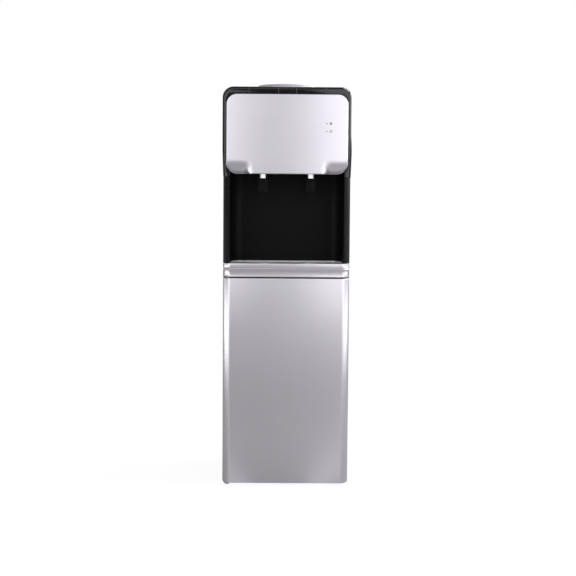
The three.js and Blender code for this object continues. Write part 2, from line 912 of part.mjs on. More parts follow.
function addDoor() {
  const height = [skirtBottom, doorTop];
  const cavity = [skirtBottom + doorWall, doorTop - doorWall];
  const cavityBack = doorBack - doorWall;
  const cavityRound = doorBackRound - doorWall;
  const bosses = [
    [cavity[0] - doorWall / 2, cavity[0] + hingeBossHeight],
    [cavity[1] - hingeBossHeight, cavity[1] + doorWall / 2],
  ];
  const pinHole = hingePinRadius + runningGap;
  const skin = cut(
    join(
      cut(
        raised(frontOutline(0, doorBack, doorBackRound), height),
        raised(frontOutline(doorWall, cavityBack, cavityRound), cavity),
        block(
          across(halfCabinet - doorWindowSide),
          [cavityBack - overrun, doorBack + overrun],
          [skirtBottom + doorWindowEnd, doorTop - doorWindowEnd],
        ),
      ),
      ...bosses.map((span) => post(hingeX, hingeY, span, hingeBossRadius)),
    ),
    post(hingeX, hingeY, [skirtBottom - overrun, skirtBottom + doorWall + hingePinReach + overrun], pinHole),
    post(hingeX, hingeY, [doorTop - doorWall - hingePinReach - overrun, doorTop + overrun], pinHole),
  );
  add('door_skin', skin, ...silverPaint);

  const panelFace = cavityBack - seatGap;
  const panelHalf = halfCabinet - doorWall - seatGap;
  const padHalf = halfCabinet - doorWindowSide - doorPadMargin;
  const panel = join(
    block(
      across(panelHalf - cavityRound),
      [panelFace - doorPanelThickness, panelFace],
      [cavity[0] + seatGap, cavity[1] - seatGap],
    ),
    block(
      across(padHalf),
      [panelFace - doorPanelThickness / 2, panelFace + doorPadRise],
      [skirtBottom + doorWindowEnd + doorPadMargin, doorTop - doorWindowEnd - doorPadMargin],
    ),
  );
  add('door_inner_panel', panel, ...linerPlastic);

  const strikerX = [halfCabinet - doorWindowSide + seatGap, halfCabinet - doorBackRound];
  const striker = block(
    strikerX,
    [doorBack + seatGap, doorBack + seatGap + strikerThickness],
    [magnetTop - magnetHeight - strikerMargin, magnetTop + strikerMargin],
  );
  add('door_striker', striker, ...zincSteel);

  const plate = [bracketFloorGap, bracketFloorGap + bracketSheet];
  const plateBack = deckFront + bracketRiserBack;
  const bracket = join(
    block(about(hingeX, bracketWidth), [hingeY, plateBack], plate),
    post(hingeX, hingeY, plate, bracketWidth / 2, mediumSides),
    block(
      about(hingeX, bracketWidth),
      [plateBack - bracketSheet, plateBack],
      [bracketFloorGap, panUnderside - seatGap],
    ),
    block(
      about(hingeX, bracketWidth),
      [plateBack - bracketSheet, plateBack + bracketFlangeLength],
      [panUnderside - seatGap - bracketSheet, panUnderside - seatGap],
    ),
    post(hingeX, hingeY, [bracketFloorGap, skirtBottom - seatGap], bracketShoulderRadius),
    post(hingeX, hingeY, [bracketFloorGap, skirtBottom + doorWall + hingePinReach], hingePinRadius),
  );
  add('hinge_bracket_lower', bracket, ...zincSteel);
  const pin = post(
    hingeX,
    hingeY,
    [doorTop - doorWall - hingePinReach, bandBottom + hingePinSeat],
    hingePinRadius,
  );
  add('hinge_pin_upper', pin, ...zincSteel);
}

// How far the band is drawn in at a height: nothing at its lower edge, deepest under the rim
function coveInset(share) {
  return coveDepth * Math.sin(share * quarterTurn);
}

function addTraySurround() {
  const plan = (inset, at) => ({ outline: frontOutline(inset, mouldingBack), at });
  const coveBottom = bandBottom + edgeRound;
  const cove = [];
  for (let step = 0; step <= coveSteps; step += 1) {
    const share = step / coveSteps;
    cove.push(plan(coveInset(share), coveBottom + (coveTop - coveBottom) * share));
  }
  const front = lofted([
    plan(edgeRound, bandBottom),
    ...cove,
    plan(edgeRound, rimBottom - edgeRound),
    plan(0, rimBottom),
    plan(0, rimTop - edgeRound),
    plan(edgeRound, rimTop),
  ], inPlan);
  const well = block(
    across(recessOuterHalf),
    [mouldingBack - overrun, recessOuterBack],
    [bandBottom, rimTop],
  );
  const trayHole = raised(wellOutline(trayLedge, frontY + trayFront), [trayFloor, rimTop + overrun]);
  const pinHole = post(
    hingeX,
    hingeY,
    [bandBottom - overrun, bandBottom + hingePinSeat + seatGap],
    hingePinRadius + seatGap,
  );
  add('tray_surround', cut(join(front, well), trayHole, pinHole), ...silverPaint);

  const trayEdge = trayLedge + trayClearance;
  const trayFace = frontY + trayFront + trayClearance;
  const tray = cut(
    raised(wellOutline(trayEdge, trayFace), [trayFloor + seatGap, trayRim]),
    raised(wellOutline(trayEdge + trayWall, trayFace + trayWall), [
      trayFloor + seatGap + trayWall,
      trayRim + overrun,
    ]),
  );
  add('drip_tray', tray, ...mattBlack);

  const grilleZ = [trayRim + seatGap, trayRim + seatGap + grilleThickness];
  let grille = raised(wellOutline(trayEdge, trayFace), grilleZ);
  const corner = recessCorner - trayEdge;
  const cornerX = recessHalf - recessCorner;
  const back = recessBack - trayEdge;
  const slotSpan = 2 * (recessHalf - trayEdge - slotSideMargin) - slotWidth;
  const slotCount = Math.floor(slotSpan / slotPitch) + 1;
  for (let slot = 0; slot < slotCount; slot += 1) {
    const x = (slot - (slotCount - 1) / 2) * slotPitch;
    const intoCorner = Math.max(0, Math.abs(x) + slotWidth / 2 - cornerX);
    const shortening = corner - Math.sqrt(corner * corner - intoCorner * intoCorner);
    grille = cut(grille, block(
      about(x, slotWidth),
      [trayFace + slotEndMargin, back - slotEndMargin - shortening],
      [grilleZ[0] - overrun, grilleZ[1] + overrun],
    ));
  }
  for (const x of [-tapOffset, tapOffset]) {
    grille = join(
      grille,
      post(x, tapY, grilleZ, targetRadius, mediumSides),
      post(x, tapY, [grilleZ[0], grilleZ[1] + targetButtonRise], targetButtonRadius),
    );
  }
  add('drip_grille', grille, ...mattBlack);
}

function addRecess() {
  const bottom = rimTop + seatGap;
  const wings = raised(frontOutline(0, mouldingBack), [bottom, headBottom - seatGap]);
  const niche = block(
    across(recessOuterHalf),
    [mouldingBack - overrun, recessOuterBack],
    [bottom, headBottom - seatGap],
  );
  const top = block(
    across(recessOuterHalf),
    [mouldingBack, recessOuterBack],
    [headBottom - seatGap - overrun, tapPlateBottom - seatGap],
  );
  const hollow = raised(wellOutline(0, frontY - overrun), [bottom - overrun, tapPlateBottom]);
  add('recess_panel', cut(join(wings, niche, top), hollow), ...glossBlack);

  const plateZ = [tapPlateBottom, tapPlateTop];
  const cutZ = [tapPlateBottom - overrun, tapPlateTop + overrun];
  let plate = block(across(recessOuterHalf), [mouldingBack, recessOuterBack], plateZ);
  for (const x of [-tapOffset, tapOffset]) {
    plate = cut(
      plate,
      post(x, tapY, cutZ, spoutRadius + runningGap, mediumSides),
      block(
        about(x, earSpacing + slotSideGap * 2),
        [pivotY - paddleSlotFront, pivotY + paddleSlotBack],
        cutZ,
      ),
    );
  }
  add('tap_plate', plate, ...glossBlack);
}

// Depth of the fascia's front face: crowned across, leaning back above the crease, and rolled
// back below it everywhere but at the tap block in the middle
function fasciaFace(x, z) {
  const crown = fasciaCrown * (x / fasciaHalf) ** 2;
  const above = Math.max(0, z - creaseHeight) / (fasciaTop - creaseHeight);
  const below = Math.min(1, Math.max(0, creaseHeight - z) / (creaseHeight - fasciaBottom));
  const side = THREE.MathUtils.smoothstep(Math.abs(x), tapBlockHalf, tapBlockHalf + tapBlockBlend);
  const roll = cornerRollDepth * (1 - Math.sqrt(1 - (rollFlattenShare * below) ** 2));
  return frontY + crown + fasciaLean * above + side * roll;
}

function stations(stops, counts) {
  const values = [stops[0]];
  counts.forEach((count, piece) => {
    for (let step = 1; step <= count; step += 1) {
      values.push(stops[piece] + ((stops[piece + 1] - stops[piece]) * step) / count);
    }
  });
  return values;
}

function addHead() {
  const ring = (inset, at) => ({ outline: headOutline(inset, headBottom), at });
  const frameFront = frontY + frameSetback;
  const rings = [ring(0, mouldingBack)];
  for (let step = 0; step <= frameEdgeSteps; step += 1) {
    const angle = (quarterTurn * step) / frameEdgeSteps;
    rings.push(ring(
      frameEdgeWide * (1 - Math.cos(angle)),
      frameFront + frameEdgeDeep * (1 - Math.sin(angle)),
    ));
  }
  const through = [frontY - overrun, mouldingBack + overrun];
  const opening = roundedRectangle(
    across(fasciaHalf + seatGap),
    [fasciaBottom - seatGap, fasciaTop + seatGap],
    fasciaCorner + seatGap,
  );
  const frame = cut(
    lofted(rings, inFrontView),
    runBack(opening, through),
    block(across(recessHalf), through, [headBottom - overrun, tapPlateBottom]),
    runBack(headOutline(frameSkin, headBottom + frameSkin), [frameFront + frameBand, through[1]]),
  );
  add('head_frame', frame, ...glossBlack);

  const edge = fasciaHalf + overrun;
  const blend = tapBlockHalf + tapBlockBlend;
  const stationsX = stations([-edge, -blend, -tapBlockHalf, tapBlockHalf, blend, edge], [2, 3, 4, 3, 2]);
  const stationsZ = stations([fasciaBottom - overrun, creaseHeight, fasciaTop + overrun], [6, 1]);
  const backPlane = () => mouldingBack;
  const openBack = () => mouldingBack + overrun;
  const body = gridBlock(stationsX, stationsZ, fasciaFace, backPlane);
  const hollow = gridBlock(stationsX, stationsZ, (x, z) => fasciaFace(x, z) + fasciaWall, openBack);
  const outline = roundedRectangle(across(fasciaHalf), [fasciaBottom, fasciaTop], fasciaCorner);
  const innerOutline = roundedRectangle(
    across(fasciaHalf - fasciaWall),
    [fasciaBottom + fasciaWall, fasciaTop - fasciaWall],
    fasciaCorner - fasciaWall,
  );
  let fascia = cut(
    body.intersect(runBack(outline, through)),
    hollow.intersect(runBack(innerOutline, through)),
  );
  const boardMiddle = (coolLensHeight + heatLensHeight) / 2;
  const boardFront = frontY + boardBehindFace;
  const postX = boardWidth / 2 - boardPostInset;
  const postZ = boardHeight / 2 - boardPostInset;
  for (const [x, z] of [[lensX - postX, boardMiddle + postZ], [lensX + postX, boardMiddle - postZ]]) {
    fascia = join(fascia, bar(
      new THREE.Vector3(x, fasciaFace(x, z) + fasciaWall / 2, z),
      new THREE.Vector3(x, boardFront - seatGap, z),
      boardPostRadius,
    ));
  }
  const lenses = [['cool_lens', coolLensHeight, clearLens], ['heat_lens', heatLensHeight, warmLens]];
  for (const [name, z, look] of lenses) {
    const face = fasciaFace(lensX, z);
    const seat = (from, to, radius) => bar(
      new THREE.Vector3(lensX, from, z),
      new THREE.Vector3(lensX, to, z),
      radius,
    );
    fascia = cut(fascia, seat(face - overrun, face + fasciaWall + overrun, lensRadius + runningGap));
    add(name, seat(face - lensProud, boardFront - seatGap, lensRadius), ...look);
  }
  add('fascia', fascia, ...silverPaint);
  add('indicator_board', block(
    about(lensX, boardWidth),
    [boardFront, boardFront + boardThickness],
    about(boardMiddle, boardHeight),
  ), ...boardGreen);
}

function addTap(side, sign) {
  const x = sign * tapOffset;
  const bottom = tapPlateTop + seatGap;
  const earX = earSpacing / 2;
  const inletZ = tapPlateTop + tapInletHeight;
  const ear = (offset) => block(
    about(x + offset, earWidth),
    [tapY, earBack],
    about(pivotZ, earHeight),
  );
  const pinLine = (from, to, radius) => bar(
    new THREE.Vector3(x + from, pivotY, pivotZ),
    new THREE.Vector3(x + to, pivotY, pivotZ),
    radius,
  );
  const reach = earX + earWidth;
  const body = cut(
    join(
      post(x, tapY, [bottom, bottom + tapBodyHeight], tapBodyRadius, mediumSides),
      ear(-earX),
      ear(earX),
      bar(
        new THREE.Vector3(x, tapY, inletZ),
        new THREE.Vector3(x, tapY + tapBodyRadius + tapInletReach, inletZ),
        tapInletRadius,
      ),
    ),
    pinLine(-reach, reach, pinRadius + runningGap),
  );
  add(`tap_body_${side}`, body, ...whitePlastic);

  const spout = turned([
    [spoutBore, spoutTip],
    [spoutRadius - spoutTaper, spoutTip],
    [spoutRadius, tapPlateBottom],
    [spoutRadius, tapPlateTop],
    [spoutBore, tapPlateTop],
    [spoutBore, spoutTip],
  ], x, tapY, mediumSides);
  add(`spout_${side}`, spout, ...whitePlastic);

  const hubHalf = earX - earWidth / 2 - runningGap;
  const halfThick = paddleThickness / 2;
  const paddle = cut(
    join(
      pinLine(-hubHalf, hubHalf, hubRadius),
      block(about(x, hubHalf * 2), about(pivotY, paddleThickness), [paddleShoulder - halfThick, pivotZ]),
      block(about(x, paddleWidth), about(pivotY, paddleThickness), [paddleTip, paddleShoulder]),
    ),
    pinLine(-hubHalf - overrun, hubHalf + overrun, pinRadius + runningGap),
  );
  add(`paddle_${side}`, paddle, ...mattBlack);

  const earOuter = earX + earWidth / 2;
  const springFrom = earOuter + seatGap;
  const headFrom = springFrom + springLength + seatGap;
  const pin = join(
    pinLine(sign * (-earOuter - pinEndOut), sign * (headFrom + pinHeadWidth), pinRadius),
    pinLine(sign * headFrom, sign * (headFrom + pinHeadWidth), pinHeadRadius),
  );
  add(`paddle_pin_${side}`, pin, ...stainless);
  const spring = cut(
    pinLine(sign * springFrom, sign * (springFrom + springLength), springOuter),
    pinLine(
      sign * (springFrom - overrun),
      sign * (springFrom + springLength + overrun),
      pinRadius + runningGap,
    ),
  );
  add(`paddle_spring_${side}`, spring, ...zincSteel);
}

function addTopCover() {
  const inner = headOutline(coverWall, coverSkirtBottom).map((point) => new THREE.Vector2(
    point.x,
    point.y === coverSkirtBottom ? coverSkirtBottom - overrun : point.y,
  ));
  const cover = cut(
    runBack(headOutline(0, coverSkirtBottom), [shellFront, coverBack]),
    runBack(inner, [shellFront - overrun, coverBack - coverWall]),
    post(0, 0, [headTop - coverWall - overrun, headTop + overrun], seatHoleRadius, largeSides),
  );
  add('top_cover', cover, ...glossBlack);

  const flangeTop = headTop + seatGap + seatFlangeThickness;
  const skirtRadius = seatHoleRadius - runningGap;
  const skirtEnd = headTop - seatSkirtDepth;
  const seat = turned([
    [ledgeBore, funnelBottom],
    [neckRadius, funnelBottom],
    [neckRadius, neckTop],
    [skirtRadius - funnelWall, skirtEnd - funnelWall],
    [skirtRadius, skirtEnd],
    [skirtRadius, headTop + seatGap],
    [seatFlangeRadius, headTop + seatGap],
    [seatFlangeRadius, flangeTop],
    [collarRadius, flangeTop],
    [collarRadius, collarTop - collarRound],
    [collarRadius - collarRound, collarTop],
    [collarInner + collarRound, collarTop],
    [collarInner, collarTop - collarRound],
    [collarInner, skirtEnd],
    [neckRadius - funnelWall, neckTop],
    [neckRadius - funnelWall, funnelBottom + funnelWall],
    [ledgeBore, funnelBottom + funnelWall],
    [ledgeBore, funnelBottom],
  ], 0, 0, largeSides);
  add('bottle_seat', seat, ...greyPlastic);

  const flangeZ = funnelBottom + funnelWall + seatGap;
  const windowZ = [probeTop - probeCrown - probeWindowHeight, probeTop - probeCrown];
  const probe = cut(
    turned([
      [probeBore, funnelBottom - probeTail],
      [probeRadius, funnelBottom - probeTail],
      [probeRadius, flangeZ],
      [probeFlangeRadius, flangeZ],
      [probeFlangeRadius, flangeZ + probeFlangeThickness],
      [probeRadius, flangeZ + probeFlangeThickness],
      [probeRadius, probeTop - probeCrown],
      [probeRadius / 2, probeTop],
      [0, probeTop],
      [0, probeTop - probeCrown],
      [probeBore, probeTop - probeCrown],
      [probeBore, funnelBottom - probeTail],
    ], 0, 0, smallSides),
    block(across(probeRadius + overrun), across(probeWindowWidth / 2), windowZ),
    block(across(probeWindowWidth / 2), across(probeRadius + overrun), windowZ),
  );
  add('feed_probe', probe, ...whitePlastic);
}

function addColdSide() {
  const portHole = waterLineRadius + holeClearance / 2;
  const portY = -Math.sqrt(foamOuter ** 2 - coldPortX ** 2);
  const portEnd = new THREE.Vector3(coldPortX, portY, coldPortHeight);
  const portStart = new THREE.Vector3(0, 0, coldPortHeight);
  const outward = new THREE.Vector3().subVectors(portEnd, portStart).normalize();
  const suctionStart = new THREE.Vector3(suctionX, 0, coilBottom + waterLineRadius * 2);
  const foam = cut(
    turned([
      [0, foamBottom],
      [foamOuter, foamBottom],
      [foamOuter, coldTankTop],
      [foamInner, coldTankTop],
      [foamInner, foamBottom + foamBase],
      [0, foamBottom + foamBase],
    ], 0, 0, mediumSides),
    post(fillX, fillY, [foamBottom - overrun, foamBottom + foamBase + overrun], portHole),
    bar(portStart, portEnd.clone().addScaledVector(outward, foamBase), portHole),
    bar(new THREE.Vector3(coldTankRadius, 0, suctionStart.z), suctionStart, portHole),
  );
  add('foam_shell', foam, ...foamWhite);

  const portTip = portStart.clone().addScaledVector(outward, foamInner - seatGap);
  const tank = cut(
    join(
      turned([
        [0, tankBottom],
        [coldTankRadius, tankBottom],
        [coldTankRadius, coldTankTop],
        [coldTankRadius - coldTankWall, coldTankTop],
        [coldTankRadius - coldTankWall, tankBottom + coldTankWall],
        [0, tankBottom + coldTankWall],
      ], 0, 0, mediumSides),
      bar(
        portStart.clone().addScaledVector(outward, coldTankRadius - coldTankWall),
        portTip,
        waterLineRadius,
      ),
    ),
    bar(
      portStart.clone().addScaledVector(outward, coldTankRadius / 2),
      portTip.clone().addScaledVector(outward, overrun),
      waterLineRadius / 2,
    ),
    post(fillX, fillY, [tankBottom - overrun, tankBottom + coldTankWall + overrun], waterLineRadius / 2),
  );
  add('cold_tank', tank, ...stainless);

  const coil = turned([
    [coilInner, coilBottom],
    [coilOuter, coilBottom],
    [coilOuter, coilTop],
    [coilInner, coilTop],
    [coilInner, coilBottom],
  ], 0, 0, mediumSides);
  add('evaporator_coil', coil, ...copper);

  const tapInlet = [-tapOffset, tapY + tapBodyRadius + tapInletReach + seatGap, tapPlateTop + tapInletHeight];
  const from = portTip.clone().addScaledVector(outward, seatGap);
  const lead = from.clone().addScaledVector(outward, waterLineLead);
  add('cold_line', routed([
    from.toArray(),
    lead.toArray(),
    [tapInlet[0], tapInlet[1] + waterLineRadius * 2, tapInlet[2]],
    tapInlet,
  ], waterLineRadius), ...silicone);
}

function addHotSide() {
  const base = middleDeckTop + seatGap;
  const hotInner = hotTankRadius - hotTankWall;
  const shell = join(
    turned([
      [0, hotTankBottom],
      [hotTankRadius - hotTankDome, hotTankBottom],
      [hotTankRadius, hotTankBottom + hotTankDome],
      [hotTankRadius, hotTankTop - hotTankDome],
      [hotTankRadius - hotTankDome, hotTankTop],
      [0, hotTankTop],
    ], hotTankX, hotTankY, mediumSides),
    turned([
      [hotTankSkirtRadius - hotTankSkirtWall, base],
      [hotTankSkirtRadius, base],
      [hotTankSkirtRadius, hotTankBottom + hotTankDome],
      [hotTankSkirtRadius - hotTankSkirtWall, hotTankBottom + hotTankDome],
      [hotTankSkirtRadius - hotTankSkirtWall, base],
    ], hotTankX, hotTankY, mediumSides),
    post(hotTankX, hotTankY, [hotTankTop - overrun, hotTankTop + hotSpigotRise], hotSpigotRadius),
    post(
      hotTankX + fillSpigotInset,
      hotTankY,
      [hotTankTop - overrun, hotTankTop + hotSpigotRise],
      hotSpigotRadius,
    ),
    bar(
      new THREE.Vector3(hotTankX, hotTankY, hotTankBottom + hotTankDome + hotSpigotRadius),
      new THREE.Vector3(
        hotTankX,
        hotTankY + hotTankRadius + hotSpigotRise,
        hotTankBottom + hotTankDome + hotSpigotRadius,
      ),
      hotSpigotRadius,
    ),
  );
  const tank = cut(
    shell,
    turned([
      [0, hotTankBottom + hotTankWall],
      [hotInner - hotTankDome, hotTankBottom + hotTankWall],
      [hotInner, hotTankBottom + hotTankDome],
      [hotInner, hotTankTop - hotTankDome],
      [hotInner - hotTankDome, hotTankTop - hotTankWall],
      [0, hotTankTop - hotTankWall],
    ], hotTankX, hotTankY, mediumSides),
    post(
      hotTankX,
      hotTankY,
      [hotTankTop - hotTankDome, hotTankTop + hotSpigotRise + overrun],
      hotSpigotRadius / 2,
    ),
  );
  add('hot_tank', tank, ...stainless);
  const band = turned([
    [hotTankRadius + seatGap, heaterBottom],
    [hotTankRadius + heaterThickness, heaterBottom],
    [hotTankRadius + heaterThickness, heaterTop],
    [hotTankRadius + seatGap, heaterTop],
    [hotTankRadius + seatGap, heaterBottom],
  ], hotTankX, hotTankY, mediumSides);
  add('heater_band', band, ...bandMica);

  const spigotTop = hotTankTop + hotSpigotRise + seatGap;
  const tapInlet = [tapOffset, tapY + tapBodyRadius + tapInletReach + seatGap, tapPlateTop + tapInletHeight];
  add('hot_line', routed([
    [hotTankX, hotTankY, spigotTop],
    [hotTankX, hotTankY, spigotTop + waterLineBend],
    [hotTankX / 2, hotTankY / 2, spigotTop + hotLineArch],
    [hotRiserX / 2, hotRiserY / 2, spigotTop + hotLineArch],
    [hotRiserX, hotRiserY, upperDeckTop - waterLineBend],
    [hotRiserX, hotRiserY, upperDeckTop],
    [hotRiserX, hotRiserY, upperDeckTop + waterLineBend],
    [(hotRiserX * 2 + tapOffset) / 3, upperDeckFront / 2, tapInlet[2] - waterLineBend / 2],
    [tapOffset, tapInlet[1] + waterLineBend, tapInlet[2]],
    tapInlet,
  ], waterLineRadius), ...silicone);
  add('fill_line', routed([
    [fillX, fillY, tankBottom - seatGap],
    [fillX, fillY, foamBottom],
    [fillX, fillY, upperDeckTop - waterLineBend],
    [(fillX + hotTankX + fillSpigotInset) / 2, (fillY + hotTankY) / 2, spigotTop + fillLineArch],
    [hotTankX + fillSpigotInset, hotTankY, spigotTop + waterLineBend / 2],
    [hotTankX + fillSpigotInset, hotTankY, spigotTop],
  ], waterLineRadius), ...silicone);

  const drainTop = hotTankBottom + hotTankDome + hotSpigotRadius;
  const drainStart = hotTankY + hotTankRadius + hotSpigotRise + seatGap;
  add('drain_line', routed([
    [drainX, drainStart, drainTop],
    [drainX, drainStart + waterLineRadius / 2, drainTop],
    [drainX, lineDropY, drainTop - waterLineBend],
    [drainX, lineDropY, middleDeckTop],
    [drainX, lineDropY, (middleDeckTop + drainHeight) / 2],
    [drainX, lineDropY, drainHeight + waterLineBend],
    [drainX, rearPanelInner - waterLineRadius, drainHeight],
    [drainX, rearPanelOuter, drainHeight],
    [drainX, rearPanelOuter + drainProud, drainHeight],
  ], waterLineRadius), ...silicone);
}

function addCoolingCircuit() {
  const footZ = [panTop + panPadHeight + seatGap, panTop + panPadHeight + seatGap + compressorFootSheet];
  const neck = compressorRadius * compressorNeckShare;
  const dischargeX = compressorX + dischargePipeX;
  const suctionPipe = compressorX + suctionPipeX;
  const pipeBottom = compressorTop - compressorDome;
  const pipeTop = compressorTop + compressorPipeRise;
  const shell = join(
    turned([
      [0, footZ[0]],
      [neck, footZ[0]],
      [neck, compressorBottom],
      [compressorRadius, compressorBottom + compressorDome],
      [compressorRadius, compressorSeam],
      [compressorRadius + compressorSeamRise, compressorSeam],
      [compressorRadius + compressorSeamRise, compressorSeam + compressorSeamHeight],
      [compressorRadius, compressorSeam + compressorSeamHeight],
      [compressorRadius, compressorTop - compressorDome],
      [neck, compressorTop - compressorDome / 4],
      [neck / 2, compressorTop],
      [0, compressorTop],
    ], compressorX, compressorY, mediumSides),
    block(about(compressorX, compressorFootSpan), about(compressorY, compressorFootDepth), footZ),
    post(dischargeX, compressorY, [pipeBottom, pipeTop], compressorPipeRadius),
    post(suctionPipe, compressorY, [pipeBottom, pipeTop], compressorPipeRadius),
  );
  add('compressor', shell, ...blackEnamel);

  const wireY = backY - condenserWireRadius;
  const tubeY = wireY - condenserWireRadius - seatGap - condenserTubeRadius;
  const pitch = (condenserTop - condenserBottom) / (condenserPasses - 1);
  const bend = pitch / 2;
  const route = [];
  for (let pass = 0; pass < condenserPasses; pass += 1) {
    const z = condenserTop - pass * pitch;
    const way = pass % 2 === 0 ? 1 : -1;
    if (pass === 0) {
      route.push(new THREE.Vector2(-condenserHalf, z));
    }
    if (pass < condenserPasses - 1) {
      const turnX = way * (condenserHalf - bend);
      route.push(...arc(turnX, z - bend, way * bend, bend, quarterTurn, -quarterTurn, bendSteps));
    } else {
      route.push(new THREE.Vector2(way * condenserHalf, z));
    }
  }
  add('condenser_tube', flatTube(route, tubeY, condenserTubeRadius), ...blackEnamel);

  const rodZ = [condenserBottom - condenserRodInset, condenserTop + condenserRodInset];
  const wireSpan = condenserHalf - condenserRodInset;
  const frame = [];
  for (let wire = 0; wire < condenserWires; wire += 1) {
    const x = -wireSpan + (2 * wireSpan * wire) / (condenserWires - 1);
    frame.push(post(x, wireY, rodZ, condenserWireRadius, wireSides));
  }
  const rodY = wireY + condenserWireRadius - condenserRodRadius;
  const footY = rearPanelOuter + seatGap;
  for (const z of rodZ) {
    frame.push(bar(
      new THREE.Vector3(-condenserHalf, rodY, z),
      new THREE.Vector3(condenserHalf, rodY, z),
      condenserRodRadius,
      rodSides,
    ));
    for (const x of [-condenserHalf, condenserHalf]) {
      frame.push(
        block(about(x, condenserLegSheet), [footY, wireY], about(z, condenserLegWidth)),
        block(about(x, condenserLegWidth), [footY, footY + condenserLegSheet], about(z, condenserLegWidth)),
      );
    }
  }
  add('condenser_wires', join(...frame), ...blackEnamel);

  const outX = -condenserHalf - condenserLegWidth - condenserTubeRadius;
  const pipeEnd = pipeTop + seatGap;
  const crossing = rearPanelBottom - refrigerantLineBend * 2;
  add('discharge_line', routed([
    [dischargeX, compressorY, pipeEnd],
    [dischargeX, compressorY, pipeEnd + refrigerantLineBend],
    [(dischargeX + outX) / 2, (compressorY + tubeY) / 2, pipeEnd + refrigerantLineBend * 2],
    [outX + refrigerantLineBend, tubeY - refrigerantLineRadius * 2, crossing],
    [outX, tubeY, rearPanelBottom + refrigerantLineBend],
    [outX, tubeY, (condenserBottom + condenserTop) / 2],
    [outX, tubeY, condenserTop - refrigerantLineBend * 2],
    [outX + refrigerantLineBend / 3, tubeY, condenserTop - refrigerantLineBend / 4],
    [-condenserHalf - seatGap - refrigerantLineRadius, tubeY, condenserTop],
    [-condenserHalf - seatGap, tubeY, condenserTop],
  ], refrigerantLineRadius), ...copper);

  const coilPort = coilBottom + waterLineRadius * 2;
  add('suction_line', routed([
    [coilOuter + seatGap, 0, coilPort],
    [foamOuter, 0, coilPort],
    [foamOuter + waterLineRadius * 2, 0, coilPort],
    [suctionX, lineDropY * 2 / 3, (coilPort * 2 + upperDeckTop) / 3],
    [suctionX, lineDropY, upperDeckTop + foamBase],
    [suctionX, lineDropY, upperDeckTop],
    [suctionX, lineDropY, (upperDeckTop + middleDeckTop) / 2],
    [suctionX, lineDropY, middleDeckTop],
    [suctionX, lineDropY, linerStep + refrigerantLineBend * 2],
    [(suctionX + suctionPipe) / 2, (lineDropY + compressorY) / 2, pipeEnd + refrigerantLineBend * 2],
    [suctionPipe, compressorY, pipeEnd + refrigerantLineBend],
    [suctionPipe, compressorY, pipeEnd],
  ], refrigerantLineRadius), ...copper);
}

function addRearFittings() {
  const plateBack = rearPanelOuter + seatGap;
  const plateFace = plateBack + switchPlateThickness;
  const pivotLineY = plateFace - rockerPivotDepth;
  const pivotLine = (from, to, radius) => bar(
    new THREE.Vector3(from, pivotLineY, switchHeight),
    new THREE.Vector3(to, pivotLineY, switchHeight),
    radius,
  );
  let plate = join(
    block(about(switchX, switchPlateWidth), [plateBack, plateFace], about(switchHeight, switchPlateHeight)),
    block(
      about(switchX, switchBodyWidth),
      [rearPanelInner - switchBodyDepth, plateFace],
      about(switchHeight, switchBodyHeight),
    ),
  );
  plate = cut(plate, pivotLine(
    switchX - (rockerSpacing + rockerWidth) / 2 - switchSocketDepth,
    switchX + (rockerSpacing + rockerWidth) / 2 + switchSocketDepth,
    rockerPivotRadius + runningGap,
  ));
  const profile = [
    [-rockerBack, -rockerBackHeight / 2],
    [rockerCrest, -rockerHeight / 2],
    [rockerWaist, 0],
    [rockerCrest, rockerHeight / 2],
    [-rockerBack, rockerBackHeight / 2],
  ].map(([y, z]) => new THREE.Vector2(y, z).rotateAround(
    new THREE.Vector2(0, 0),
    THREE.MathUtils.degToRad(-rockerTilt),
  ).add(new THREE.Vector2(pivotLineY, switchHeight)));
  for (const [name, side] of [['heat_rocker', -1], ['cool_rocker', 1]]) {
    const x = switchX + (side * rockerSpacing) / 2;
    plate = cut(plate, block(
      about(x, rockerWidth + rockerGap),
      [rearPanelInner - switchBodyDepth - overrun, plateFace + overrun],
      about(switchHeight, rockerHeight + rockerGap * 2),
    ));
    const stub = rockerWidth / 2 + switchSocketDepth;
    const rocker = join(
      runAcross(profile, about(x, rockerWidth)),
      pivotLine(x - stub, x + stub, rockerPivotRadius),
    );
    add(name, rocker, ...mattBlack);
  }
  add('switch_plate', plate, ...mattBlack);

  const inletFace = plateBack + inletPlateThickness;
  const mouthFloor = inletFace - inletMouthDepth;
  let inlet = cut(
    join(
      block(about(inletX, inletWidth), [plateBack, inletFace], about(inletHeight, inletPlateHeight)),
      block(
        about(inletX, inletBodyWidth),
        [rearPanelInner - inletBodyDepth, inletFace],
        about(inletHeight, inletBodyHeight),
      ),
    ),
    block(
      about(inletX, inletBodyWidth - inletMouthWall * 2),
      [mouthFloor, inletFace + overrun],
      about(inletHeight, inletBodyHeight - inletMouthWall * 2),
    ),
  );
  for (const [offset, drop] of [[-inletPinOffset, 0], [0, inletPinDrop], [inletPinOffset, 0]]) {
    inlet = join(inlet, block(
      about(inletX + offset, inletPinWidth),
      [mouthFloor - overrun, mouthFloor + inletPinReach],
      about(inletHeight + drop, inletPinHeight),
    ));
  }
  add('power_inlet', inlet, ...mattBlack);

  const capInner = waterLineRadius + seatGap;
  const capBack = rearPanelOuter + drainProud + seatGap;
  const drainLine = (from, to, radius) => bar(
    new THREE.Vector3(drainX, from, drainHeight),
    new THREE.Vector3(drainX, to, drainHeight),
    radius,
    mediumSides,
  );
  const cap = cut(
    drainLine(capBack - capLength, capBack + capWall, capInner + capWall),
    drainLine(capBack - capLength - overrun, capBack, capInner),
  );
  add('drain_cap', cap, ...mattBlack);
}

addBase();
addShell();
addDecks();
addLiner();
addDoor();
addTraySurround();
addRecess();
addHead();
addTap('left', -1);
addTap('right', 1);
addTopCover();
addColdSide();
addHotSide();
addCoolingCircuit();
addRearFittings();

export default unit;
